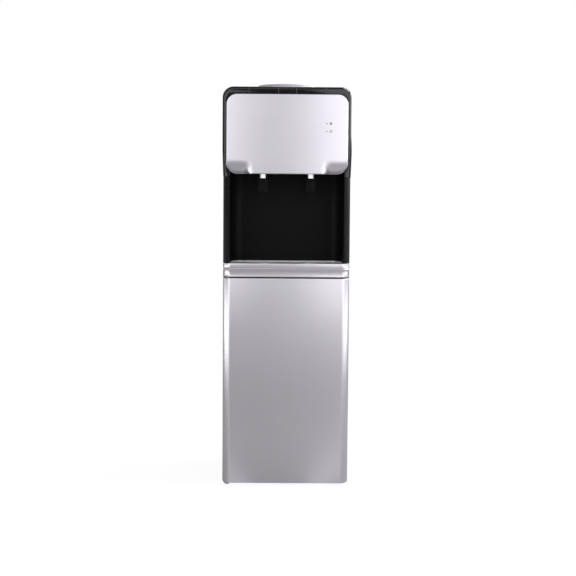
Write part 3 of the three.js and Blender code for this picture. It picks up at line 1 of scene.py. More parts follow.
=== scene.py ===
import json
import logging
import math
from dataclasses import dataclass
from enum import Enum
from functools import lru_cache
from typing import Callable, Iterable, Optional

import bmesh
import bpy
from mathutils import Matrix, Vector


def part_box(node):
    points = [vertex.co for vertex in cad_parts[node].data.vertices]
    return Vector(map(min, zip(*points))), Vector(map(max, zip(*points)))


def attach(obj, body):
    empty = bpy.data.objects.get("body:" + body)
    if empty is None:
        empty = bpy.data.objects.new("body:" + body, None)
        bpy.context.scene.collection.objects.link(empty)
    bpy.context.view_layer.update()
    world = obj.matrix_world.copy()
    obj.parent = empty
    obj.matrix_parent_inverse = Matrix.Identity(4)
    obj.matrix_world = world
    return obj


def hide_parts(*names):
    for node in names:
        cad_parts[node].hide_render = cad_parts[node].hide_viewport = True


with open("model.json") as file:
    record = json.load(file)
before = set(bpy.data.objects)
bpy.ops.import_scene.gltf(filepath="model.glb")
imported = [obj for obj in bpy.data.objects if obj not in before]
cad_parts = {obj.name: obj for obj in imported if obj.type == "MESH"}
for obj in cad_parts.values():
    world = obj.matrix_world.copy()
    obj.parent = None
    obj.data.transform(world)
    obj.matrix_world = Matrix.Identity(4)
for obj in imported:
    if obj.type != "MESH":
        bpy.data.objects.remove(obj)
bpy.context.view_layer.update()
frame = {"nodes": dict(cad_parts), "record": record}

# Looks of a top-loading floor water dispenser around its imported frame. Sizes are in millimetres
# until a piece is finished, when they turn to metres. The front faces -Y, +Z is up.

LOG = logging.getLogger("dispenser")
MM = 0.001
QUARTER = math.pi / 2
HALF = math.pi
FULL = 2 * math.pi

Flat = tuple[float, float]
Ring = list[Vector]


# Finishes


def linear(code: int) -> tuple[float, float, float, float]:
    """Turn an sRGB colour into the linear colour that shaders take.

    Args:
        code: the colour as 0xRRGGBB.

    Returns:
        Linear red, green, blue and an alpha of one.
    """
    channels = [((code >> shift) & 0xFF) / 255 for shift in (16, 8, 0)]
    red, green, blue = (c / 12.92 if c <= 0.04045 else ((c + 0.055) / 1.055) ** 2.4 for c in channels)
    return red, green, blue, 1.0


def add_node(
    tree: bpy.types.NodeTree,
    kind: str,
    settings: Optional[dict] = None,
    inputs: Optional[dict] = None,
    links: Optional[dict] = None,
) -> bpy.types.Node:
    """Add one node with its settings, socket values and incoming links.

    Args:
        tree: the tree that gets the node.
        kind: the node's class name.
        settings: attributes of the node by name.
        inputs: values of input sockets by name or number.
        links: output sockets to link from, by the input's name or number.

    Returns:
        The new node.
    """
    node = tree.nodes.new(kind)
    for key, value in (settings or {}).items():
        setattr(node, key, value)
    for key, value in (inputs or {}).items():
        node.inputs[key].default_value = value
    for key, socket in (links or {}).items():
        tree.links.new(socket, node.inputs[key])
    return node


class Relief(Enum):
    """How a surface was made, as the stretch of its fine relief along X, Y and Z."""

    MOULDED = (1.0, 1.0, 1.0)
    DRAWN_UP = (1.0, 1.0, 0.06)


@dataclass(frozen=True)
class Finish:
    """A procedural finish: two shades, a fine relief and a slow change of gloss.

    Attributes:
        name: what the real material is and how it was made.
        slot: the record's material slot.
        shades: the two sRGB shades between which the colour drifts.
        metallic: share of metal in the surface.
        roughness: lowest and highest roughness.
        ior: index of refraction.
        coat: weight of a clear coat.
        coat_roughness: roughness of that coat.
        grain: size of the fine relief, in mm.
        relief: strength of the fine relief.
        depth: height of the fine relief, in mm.
        drift: size of the slow changes, in mm.
        stretch: how the surface was made.
        specular: level of the plain reflection, 0.5 being what the index gives.
    """

    name: str
    slot: str
    shades: tuple[int, int]
    metallic: float = 0.0
    roughness: tuple[float, float] = (0.4, 0.5)
    ior: float = 1.5
    coat: float = 0.0
    coat_roughness: float = 0.1
    grain: float = 1.2
    relief: float = 0.1
    depth: float = 0.05
    drift: float = 60.0
    stretch: Relief = Relief.MOULDED
    specular: float = 0.5

    def material(self) -> bpy.types.Material:
        """Return the finish as a material, made once."""
        known = bpy.data.materials.get(self.name)
        if known:
            return known
        material = bpy.data.materials.new(self.name)
        material.use_nodes = True
        tree = material.node_tree
        tree.nodes.clear()
        place = add_node(tree, "ShaderNodeTexCoord").outputs["Object"]
        slow = add_node(
            tree,
            "ShaderNodeTexNoise",
            inputs={"Scale": 1 / (self.drift * MM), "Detail": 2.0},
            links={"Vector": place},
        )
        mapped = add_node(
            tree, "ShaderNodeMapping", inputs={"Scale": self.stretch.value}, links={"Vector": place}
        )
        fine = add_node(
            tree,
            "ShaderNodeTexNoise",
            inputs={"Scale": 1 / (self.grain * MM), "Detail": 3.0},
            links={"Vector": mapped.outputs["Vector"]},
        )
        blend = add_node(
            tree,
            "ShaderNodeMix",
            settings={"data_type": "FLOAT"},
            inputs={0: 0.35},
            links={2: slow.outputs["Fac"], 3: fine.outputs["Fac"]},
        )
        tone = add_node(
            tree,
            "ShaderNodeMix",
            settings={"data_type": "RGBA"},
            inputs={6: linear(self.shades[0]), 7: linear(self.shades[1])},
            links={0: blend.outputs[0]},
        )
        gloss = add_node(
            tree,
            "ShaderNodeMapRange",
            inputs={"From Min": 0.3, "From Max": 0.7, "To Min": self.roughness[0], "To Max": self.roughness[1]},
            links={"Value": blend.outputs[0]},
        )
        bump = add_node(
            tree,
            "ShaderNodeBump",
            inputs={"Strength": self.relief, "Distance": self.depth * MM},
            links={"Height": fine.outputs["Fac"]},
        )
        shader = add_node(
            tree,
            "ShaderNodeBsdfPrincipled",
            inputs={
                "Metallic": self.metallic,
                "IOR": self.ior,
                "Coat Weight": self.coat,
                "Coat Roughness": self.coat_roughness,
                "Specular IOR Level": self.specular,
            },
            links={
                "Base Color": tone.outputs[2],
                "Roughness": gloss.outputs["Result"],
                "Normal": bump.outputs["Normal"],
            },
        )
        add_node(tree, "ShaderNodeOutputMaterial", links={"Surface": shader.outputs["BSDF"]})
        return material


# Metal flake in lacquer: a pale violet grey that brightens softly towards each light
DOOR_PAINT = Finish(
    "lacquered silver paint on ABS", "door_paint", (0xB2B0B7, 0xB8B5BC), metallic=0.75, roughness=(0.285, 0.32),
    coat=0.15, coat_roughness=0.15, grain=1.0, relief=0.02, drift=180,
)
# The same paint on the fascia and the surround, drawn on a little brighter
SILVER_MOULDING = Finish(
    "silver painted ABS moulding", "silver_moulding", (0xB5B3BB, 0xBBB8BF), metallic=0.8,
    roughness=(0.285, 0.315), coat=0.15, coat_roughness=0.15, grain=1.0, relief=0.02, drift=140,
)
# Polished mould surface: deep black with crisp reflections, a little smeared by wiping
GLOSS_BLACK = Finish(
    "high gloss black ABS", "gloss_black", (0x08080A, 0x0D0D0F), roughness=(0.08, 0.18), ior=1.5, grain=2.5,
    relief=0.015, drift=45, specular=0.4,
)
# Satin mould surface inside the recess: black with only broad, faint highlights
SATIN_BLACK = Finish(
    "satin black ABS", "gloss_black", (0x08080A, 0x0C0C0E), roughness=(0.4, 0.5), grain=1.5, relief=0.05,
    drift=70, specular=0.06,
)
# Spark-eroded mould texture: black that stays dull from any side
MATT_BLACK = Finish(
    "spark textured black PP", "matt_black", (0x121214, 0x19191B), roughness=(0.5, 0.62), grain=0.8, relief=0.3,
    specular=0.3,
)
# Smooth light grey polypropylene: the bars catch the light over the dark basin
GRILLE_GREY = Finish(
    "light grey PP grille", "seat_grey", (0xE4E2E6, 0xEBE9EC), roughness=(0.35, 0.45), grain=1.0, relief=0.1,
)
# Baked powder coat on sheet: near black with a slight orange peel
DARK_STEEL = Finish(
    "powder coated steel", "dark_steel", (0x26272B, 0x2E2F34), metallic=0.15, roughness=(0.42, 0.55), grain=1.4,
    relief=0.25,
)
# Zinc plate on pressed sheet: cool grey with a cloudy bloom
ZINC_STEEL = Finish(
    "zinc plated steel", "zinc_steel", (0x9A9FA3, 0xB9BCBD), metallic=0.9, roughness=(0.3, 0.5), grain=5,
    relief=0.06, drift=25,
)
# Brushed stainless sheet: bright, its highlights pulled along the brushing
STAINLESS = Finish(
    "brushed stainless steel", "stainless_steel", (0xB9BBBD, 0xCDCFD0), metallic=1.0, roughness=(0.2, 0.32),
    grain=1.0, relief=0.1, stretch=Relief.DRAWN_UP,
)
# Heater band of plain steel: straw-tinted where it has been hot
HEATER_STEEL = Finish(
    "heat tinted band steel", "heater_steel", (0x8B8578, 0x9E988C), metallic=0.7, roughness=(0.35, 0.5), grain=3,
    relief=0.1, drift=20,
)
# Drawn refrigeration tube: warm red-brown, dulled in patches
COPPER = Finish(
    "drawn copper tube", "copper_tube", (0xA9663F, 0xC8875F), metallic=1.0, roughness=(0.25, 0.42), grain=4,
    relief=0.05, drift=30,
)
# Dipped enamel on steel: black with a wet look and slow ripples
BLACK_ENAMEL = Finish(
    "black dipped enamel", "black_enamel", (0x101012, 0x18181B), roughness=(0.25, 0.4), grain=2.2, relief=0.15,
    drift=30, coat=0.3,
)
# Vacuum-formed polystyrene sheet: warm white with a silky gloss
LINER = Finish(
    "white HIPS liner", "liner_plastic", (0xDADAD8, 0xE2E2E0), roughness=(0.4, 0.5), grain=1.0, relief=0.12,
)
# Moulded polypropylene: violet-tinged mid grey with a waxy gloss
SEAT_GREY = Finish(
    "grey PP moulding", "seat_grey", (0x8F8991, 0x96909A), roughness=(0.35, 0.45), grain=1.0, relief=0.12,
)
# Food-safe acetal: clean white with a soft even sheen
TAP_WHITE = Finish(
    "white acetal", "tap_white", (0xEEEEEE, 0xF6F6F6), roughness=(0.25, 0.33), grain=1.0, relief=0.05,
)
# Smoked acrylic light pipe: small dark glossy domes while the lamps are off
LENS = Finish(
    "smoked lens acrylic", "lens_plastic", (0x45454B, 0x505056), roughness=(0.08, 0.15), ior=1.49, grain=0.6,
    relief=0.02, coat=0.5,
)
# Pad print on the fascia: flat dark grey strokes
INK = Finish("pad printed grey ink", "silver_moulding", (0x4A494F, 0x525157), roughness=(0.5, 0.6), grain=0.5)
# Coloured polypropylene clip: dull red
RED_PLASTIC = Finish("red PP clip", "seat_grey", (0x9C4A52, 0xB25A62), roughness=(0.4, 0.5), grain=1.0)
# Glass-fibre board under green solder mask: slightly mottled
BOARD = Finish("solder masked board", "circuit_board", (0x275236, 0x30633F), roughness=(0.4, 0.5), grain=1.5)
# Expanded polystyrene: white beads of 3 to 4 mm pressed together
FOAM = Finish(
    "expanded polystyrene beads", "insulation_foam", (0xE8E7E0, 0xF3F2EC), roughness=(0.85, 0.95), grain=3.5,
    relief=0.6, depth=0.4,
)
# Extruded silicone hose: milky with a soft gloss
SILICONE = Finish(
    "milky silicone hose", "silicone_tube", (0xDDDEDA, 0xE8E9E5), roughness=(0.35, 0.5), grain=2, relief=0.05,
)
# Moulded nitrile rubber: dark grey, dull and dusty
RUBBER = Finish("foot rubber", "foot_rubber", (0x1A1A1C, 0x242426), roughness=(0.75, 0.9), grain=0.9, relief=0.3)
# Sintered magnet in its holder: charcoal, dry and even
FERRITE = Finish("sintered ferrite", "magnet_ferrite", (0x343436, 0x404042), roughness=(0.6, 0.75), grain=0.7)

FINISHES = (
    DOOR_PAINT, SILVER_MOULDING, GLOSS_BLACK, MATT_BLACK, DARK_STEEL, ZINC_STEEL, STAINLESS, HEATER_STEEL, COPPER,
    BLACK_ENAMEL, LINER, SEAT_GREY, TAP_WHITE, LENS, BOARD, FOAM, SILICONE, RUBBER, FERRITE,
)


# Forms


def arc(cx: float, cy: float, rx: float, ry: float, start: float, end: float, steps: int) -> list[Flat]:
    """Return points along an elliptical arc, both ends included."""
    turns = [start + (end - start) * step / steps for step in range(steps + 1)]
    return [(cx + rx * math.cos(turn), cy + ry * math.sin(turn)) for turn in turns]


def plan(outline: Iterable[Flat], height: float) -> Ring:
    """Place an outline drawn in plan at a height."""
    return [Vector((x, y, height)) for x, y in outline]


def elevation(outline: Iterable[Flat], depth: float) -> Ring:
    """Place an outline drawn in front view at a depth."""
    return [Vector((x, depth, z)) for x, z in outline]


def profile(outline: Iterable[Flat], across: float) -> Ring:
    """Place an outline drawn in side view at a place across."""
    return [Vector((across, y, z)) for y, z in outline]


def rounded_rectangle(low: Flat, high: Flat, radius: float, steps: int = 8) -> list[Flat]:
    """Return the outline of a rectangle with round corners."""
    (x0, z0), (x1, z1) = low, high
    return [
        *arc(x1 - radius, z0 + radius, radius, radius, -QUARTER, 0, steps),
        *arc(x1 - radius, z1 - radius, radius, radius, 0, QUARTER, steps),
        *arc(x0 + radius, z1 - radius, radius, radius, QUARTER, HALF, steps),
        *arc(x0 + radius, z0 + radius, radius, radius, HALF, HALF + QUARTER, steps),
    ]


def inset(outline: list[Flat], amount: float) -> list[Flat]:
    """Draw a counter-clockwise outline in by an amount, keeping its corners square."""
    points = []
    for here, (x, y) in enumerate(outline):
        before, after = outline[here - 1], outline[(here + 1) % len(outline)]
        one = Vector((x - before[0], y - before[1])).normalized()
        two = Vector((after[0] - x, after[1] - y)).normalized()
        inward = Vector((-one.y - two.y, one.x + two.x))
        scale = 2 / max(inward.length_squared, 0.5)
        points.append((x + inward.x * amount * scale, y + inward.y * amount * scale))
    return points


def smooth_path(points: list[Vector], steps: int = 10) -> list[Vector]:
    """Return points along a smooth curve through the given ones."""
    path = []
    ends = [points[0] * 2 - points[1], *points, points[-1] * 2 - points[-2]]
    for a, b, c, d in zip(ends, ends[1:], ends[2:], ends[3:]):
        for step in range(steps):
            t = step / steps
            path.append(0.5 * (2 * b + (c - a) * t + (2 * a - 5 * b + 4 * c - d) * t**2
                               + (3 * b - a - 3 * c + d) * t**3))
    return [*path, points[-1]]


class Form:
    """A mesh in the making, in millimetres, shaped with bmesh operators."""

    def __init__(self) -> None:
        """Start with an empty mesh."""
        self.bm = bmesh.new()

    def loop(self, ring: Ring) -> list[bmesh.types.BMEdge]:
        """Add a closed loop of edges through the points."""
        verts = [self.bm.verts.new(point) for point in ring]
        return [self.bm.edges.new(pair) for pair in zip(verts, verts[1:] + verts[:1])]

    def loft(self, rings: list[Ring], start: bool = True, end: bool = True) -> list[bmesh.types.BMEdge]:
        """Draw a loop of edges out from ring to ring.

        Args:
            rings: loops of equal point count.
            start: whether the first ring is closed by a face.
            end: whether the last ring is closed by a face.

        Returns:
            The edges of the last ring.
        """
        edges = self.loop(rings[0])
        verts = [edge.verts[0] for edge in edges]
        if start:
            bmesh.ops.contextual_create(self.bm, geom=edges)
        for ring in rings[1:]:
            grown = bmesh.ops.extrude_edge_only(self.bm, edges=edges)["geom"]
            fresh = {item for item in grown if isinstance(item, bmesh.types.BMVert)}
            verts = [
                next(edge.other_vert(vert) for edge in vert.link_edges if edge.other_vert(vert) in fresh)
                for vert in verts
            ]
            for vert, point in zip(verts, ring):
                vert.co = point
            edges = [self.bm.edges.get(pair) for pair in zip(verts, verts[1:] + verts[:1])]
        if end:
            bmesh.ops.contextual_create(self.bm, geom=edges)
        return edges

    def prism(
        self,
        outline: list[Flat],
        place: Callable[[Iterable[Flat], float], Ring],
        low: float,
        high: float,
        ease: float = 0.0,
        steps: int = 4,
    ) -> "Form":
        """Run an outline from low to high with eased edges at both ends."""
        turns = [QUARTER * step / steps for step in range(steps + 1)] if ease else [0.0]
        rings = [place(inset(outline, ease * (1 - math.sin(t))), low + ease * (1 - math.cos(t))) for t in turns]
        rings += [
            place(inset(outline, ease * (1 - math.sin(t))), high - ease * (1 - math.cos(t)))
            for t in reversed(turns)
        ]
        self.loft(rings)
        return self

    def block(self, low: tuple, high: tuple, ease: float = 0.6, segments: int = 3) -> "Form":
        """Add a block between two corners, its edges rounded."""
        size = [b - a for a, b in zip(low, high)]
        middle = [(a + b) / 2 for a, b in zip(low, high)]
        matrix = Matrix.Translation(middle) @ Matrix.Diagonal((*size, 1))
        verts = bmesh.ops.create_cube(self.bm, size=1, matrix=matrix)["verts"]
        if ease:
            self.bevel({edge for vert in verts for edge in vert.link_edges}, ease, segments)
        return self

    def bevel(self, edges: Iterable[bmesh.types.BMEdge], width: float, segments: int = 3) -> "Form":
        """Round the given edges."""
        bmesh.ops.bevel(
            self.bm, geom=list(edges), offset=width, offset_type="OFFSET", segments=segments, profile=0.5,
            affect="EDGES", clamp_overlap=True, material=-1,
        )
        return self

    def lathe(self, outline: list[Flat], matrix: Matrix, steps: int = 64, angle: float = FULL) -> "Form":
        """Turn a profile of (radius, height) points about the Z axis of a matrix."""
        verts = [self.bm.verts.new((radius, 0, height)) for radius, height in outline]
        edges = [self.bm.edges.new(pair) for pair in zip(verts, verts[1:])]
        before = set(self.bm.verts) - set(verts)
        bmesh.ops.spin(
            self.bm, geom=verts + edges, cent=(0, 0, 0), axis=(0, 0, 1), angle=angle, steps=steps,
            use_merge=angle == FULL, use_duplicate=False,
        )
        made = [vert for vert in self.bm.verts if vert not in before]
        bmesh.ops.remove_doubles(self.bm, verts=made, dist=0.0005)
        made = [vert for vert in self.bm.verts if vert not in before]
        bmesh.ops.transform(self.bm, matrix=matrix, verts=made)
        return self

    def rod(self, start: Vector, end: Vector, radius: float, ease: float = 0.3, sides: int = 24) -> "Form":
        """Add a round rod with eased ends between two points."""
        length = (end - start).length
        turn = (end - start).to_track_quat("Z", "X").to_matrix().to_4x4()
        outline = [(0, 0), (radius - ease, 0), (radius, ease), (radius, length - ease), (radius - ease, length),
                   (0, length)]
        return self.lathe(outline, Matrix.Translation(start) @ turn, steps=sides)

    def tube(self, path: list[Vector], radius: float, sides: int = 12) -> "Form":
        """Sweep a round section along a path, without twist."""
        side = Vector((0, 0, 1)).cross(path[1] - path[0])
        if side.length < 0.01:
            side = Vector((1, 0, 0))
        rings = []
        for here, point in enumerate(path):
            along = (path[min(here + 1, len(path) - 1)] - path[max(here - 1, 0)]).normalized()
            side = (side - along * side.dot(along)).normalized()
            up = along.cross(side)
            rings.append([
                point + side * (radius * math.cos(turn)) + up * (radius * math.sin(turn))
                for turn in (FULL * step / sides for step in range(sides))
            ])
        self.loft(rings)
        return self

    def plate(
        self,
        loops: list[list[Flat]],
        place: Callable[[Iterable[Flat], float], Ring],
        low: float,
        high: float,
        ease: float = 0.4,
        segments: int = 2,
    ) -> "Form":
        """Add a plate whose first loop is its outline and whose other loops are holes."""
        edges = [edge for outline in loops for edge in self.loop(place(outline, low))]
        filled = bmesh.ops.triangle_fill(self.bm, edges=edges, use_beauty=True)["geom"]
        faces = [item for item in filled if isinstance(item, bmesh.types.BMFace)]
        grown = bmesh.ops.extrude_face_region(self.bm, geom=faces, use_keep_orig=True)["geom"]
        lifted = [item for item in grown if isinstance(item, bmesh.types.BMVert)]
        shift = place([(0, 0)], high)[0] - place([(0, 0)], low)[0]
        bmesh.ops.translate(self.bm, verts=lifted, vec=shift)
        if ease:
            rims = [e for e in grown if isinstance(e, bmesh.types.BMEdge) and len(e.link_faces) == 2
                    and abs(e.link_faces[0].normal.dot(e.link_faces[1].normal)) < 0.5]
            self.bevel(rims, ease, segments)
        return self

    def cad(self, node: str, ease: float = 0.3, segments: int = 2) -> "Form":
        """Add a copy of a CAD node, its flat faces joined and its edges eased."""
        start = set(self.bm.verts)
        self.bm.from_mesh(frame["nodes"][node].data)
        made = [vert for vert in self.bm.verts if vert not in start]
        bmesh.ops.scale(self.bm, vec=(1 / MM,) * 3, verts=made)
        bmesh.ops.remove_doubles(self.bm, verts=made, dist=0.001)
        made = [vert for vert in self.bm.verts if vert not in start]
        edges = {edge for vert in made for edge in vert.link_edges}
        bmesh.ops.dissolve_limit(self.bm, angle_limit=math.radians(1), verts=made, edges=list(edges))
        sharp = [e for e in self.bm.edges if e.verts[0] not in start and len(e.link_faces) == 2
                 and e.calc_face_angle(0) > math.radians(40)]
        if ease:
            self.bevel(sharp, ease, segments)
        return self

    def finish(self, name: str, sharp: float, outwards: bool) -> bpy.types.Object:
        """Turn the mesh into an object in metres.

        Args:
            name: the piece's name.
            sharp: angle in degrees past which an edge stays sharp.
            outwards: whether the faces are turned outwards first.

        Returns:
            The finished object, at the origin.
        """
        if outwards:
            bmesh.ops.recalc_face_normals(self.bm, faces=self.bm.faces)
        bmesh.ops.scale(self.bm, vec=(MM,) * 3, verts=self.bm.verts)
        mesh = bpy.data.meshes.new(name)
        self.bm.to_mesh(mesh)
        self.bm.free()
        mesh.shade_smooth()
        mesh.set_sharp_from_angle(angle=math.radians(sharp))
        piece = bpy.data.objects.new(name, mesh)
        bpy.context.scene.collection.objects.link(piece)
        return piece


@dataclass
class Piece:
    """One shaped piece and what it needs to be dressed.

    Attributes:
        name: name of the piece.
        form: its mesh.
        finish: its finish.
        nodes: the CAD nodes it stands for.
        body: the CAD body it rides on.
        sharp: angle in degrees past which an edge stays sharp.
        outwards: whether its faces are turned outwards when it is finished.
    """

    name: str
    form: Form
    finish: Finish
    nodes: tuple[str, ...] = ()
    body: str = "cabinet"
    sharp: float = 35.0
    outwards: bool = True


class Assembly:
    """A sub-assembly that builds its pieces and then dresses them."""

    def build(self) -> list[Piece]:
        """Shape the pieces."""
        raise NotImplementedError

    def dress(self, pieces: list[Piece]) -> None:
        """Give each piece its finish, its body and the nodes that it stands for."""
        for piece in pieces:
            made = piece.form.finish(piece.name, piece.sharp, piece.outwards)
            made.data.materials.append(piece.finish.material())
            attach(made, piece.body)
            if piece.nodes:
                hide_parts(*piece.nodes)
            LOG.info("%s: %s, %d faces", type(self).__name__, piece.name, len(made.data.polygons))


@lru_cache(maxsize=None)
def span(node: str) -> tuple[Vector, Vector]:
    """Return a CAD node's lowest and highest corner in mm."""
    low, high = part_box(node)
    return low / MM, high / MM


@dataclass(frozen=True)
class Shared:
    """Planes and edges that several sub-assemblies share, in mm."""

    half: float = 155.0
    front: float = -160.0
    corner_wide: float = 20.0
    corner_deep: float = 30.0
    gap: float = 0.3
    moulding_back: float = -120.3
    recess_half: float = 139.0
    recess_back: float = -20.0
    recess_corner: float = 30.0
    recess_wall: float = 3.5
    tap_x: float = 58.8
    tap_y: float = -112.0
    tap_plate: float = 772.5

    def outline(
        self, drawn_in: float, rear: float, back_round: float = 0.0, steps: int = 14, set_back: float = 0.0,
    ) -> list[Flat]:
        """Return the plan outline of the front with its elliptical corners, counter-clockwise.

        Args:
            drawn_in: how far every side lies inside the full outline.
            rear: depth of the straight rear side.
            back_round: radius of the rear corners, or none.
            steps: points along each front corner.
            set_back: how far the front alone lies behind the full outline.

        Returns:
            The outline's points.
        """
        half = self.half - drawn_in
        wide = self.corner_wide - drawn_in
        deep = self.corner_deep - drawn_in - set_back
        cx = self.half - self.corner_wide
        cy = self.front + self.corner_deep
        if back_round:
            radius = back_round - drawn_in
            side = half - radius
            left = arc(-side, rear - drawn_in - radius, radius, radius, QUARTER, HALF, 5)
            right = arc(side, rear - drawn_in - radius, radius, radius, 0, QUARTER, 5)
        else:
            left, right = [(-half, rear)], [(half, rear)]
        return [
            *left,
            *arc(-cx, cy, wide, deep, HALF, HALF + QUARTER, steps),
            *arc(cx, cy, wide, deep, HALF + QUARTER, FULL, steps),
            *right,
        ]

    def well(self, drawn_in: float, front: float, steps: int = 12) -> list[Flat]:
        """Return the plan outline of the recess and the tray, counter-clockwise."""
        half = self.recess_half - drawn_in
        back = self.recess_back - drawn_in
        radius = self.recess_corner - drawn_in
        return [
            (-half, front),
            (half, front),
            *arc(half - radius, back - radius, radius, radius, 0, QUARTER, steps),
            *arc(-half + radius, back - radius, radius, radius, QUARTER, HALF, steps),
        ]


SHARED = Shared()


@dataclass
class Door(Assembly):
    """Cabinet door: a hollow silver shell, its white inner panel and a striker plate."""

    wall: float = 2.0
    edge: float = 1.6
    back_round: float = 4.0
    window_side: float = 11.0
    window_end: float = 16.0
    panel: float = 2.7
    pad_margin: float = 6.0
    pad_rise: float = 1.4
    rib: float = 2.0

    def build(self) -> list[Piece]:
        """Shape the shell, the panel and the striker."""
        low, high = span("door_skin")
        skin = Form()
        turns = [QUARTER * step / 4 for step in range(5)]
        rounds = [(self.edge * (1 - math.sin(t)), self.edge * (1 - math.cos(t))) for t in turns]
        levels = [(drawn_in, low.z + rise) for drawn_in, rise in rounds]
        levels += [(drawn_in, high.z - rise) for drawn_in, rise in reversed(rounds)]
        skin.loft([plan(SHARED.outline(drawn_in, high.y, self.back_round, 20), z) for drawn_in, z in levels])
        bmesh.ops.recalc_face_normals(skin.bm, faces=skin.bm.faces)
        back = max((face for face in skin.bm.faces if face.normal.y > 0.9), key=lambda face: face.calc_area())
        bmesh.ops.inset_region(skin.bm, faces=[back], thickness=self.window_side - self.back_round)
        for vert in back.verts:
            vert.co.z += math.copysign(self.window_end - self.window_side, low.z + high.z - 2 * vert.co.z)
        bmesh.ops.delete(skin.bm, geom=[back], context="FACES")
        bmesh.ops.solidify(skin.bm, geom=skin.bm.faces, thickness=self.wall)

        face = high.y - self.wall - SHARED.gap
        half = SHARED.half - self.wall - SHARED.gap - (self.back_round - self.wall)
        bottom = low.z + self.wall + SHARED.gap
        top = high.z - self.wall - SHARED.gap
        pad_x = SHARED.half - self.window_side - self.pad_margin
        pad_low = low.z + self.window_end + self.pad_margin
        pad_high = high.z - self.window_end - self.pad_margin
        panel = Form().block((-half, face - self.panel, bottom), (half, face, top), 0.4)
        pad = rounded_rectangle((-pad_x, pad_low), (pad_x, pad_high), 14)
        panel.prism(pad, elevation, face - self.panel / 2, face + self.pad_rise, 1.0)
        tray = rounded_rectangle((-pad_x + 22, pad_low + 30), (pad_x - 22, pad_high - 30), 10)
        panel.prism(tray, elevation, face - self.panel / 2, face + self.pad_rise + 0.6, 0.5)
        return [
            Piece("door_shell", skin, DOOR_PAINT, ("door_skin",), "door"),
            Piece("door_lining", panel, LINER, ("door_inner_panel",), "door"),
            Piece("door_striker_plate", Form().cad("door_striker", 0.25), ZINC_STEEL, ("door_striker",), "door"),
        ]


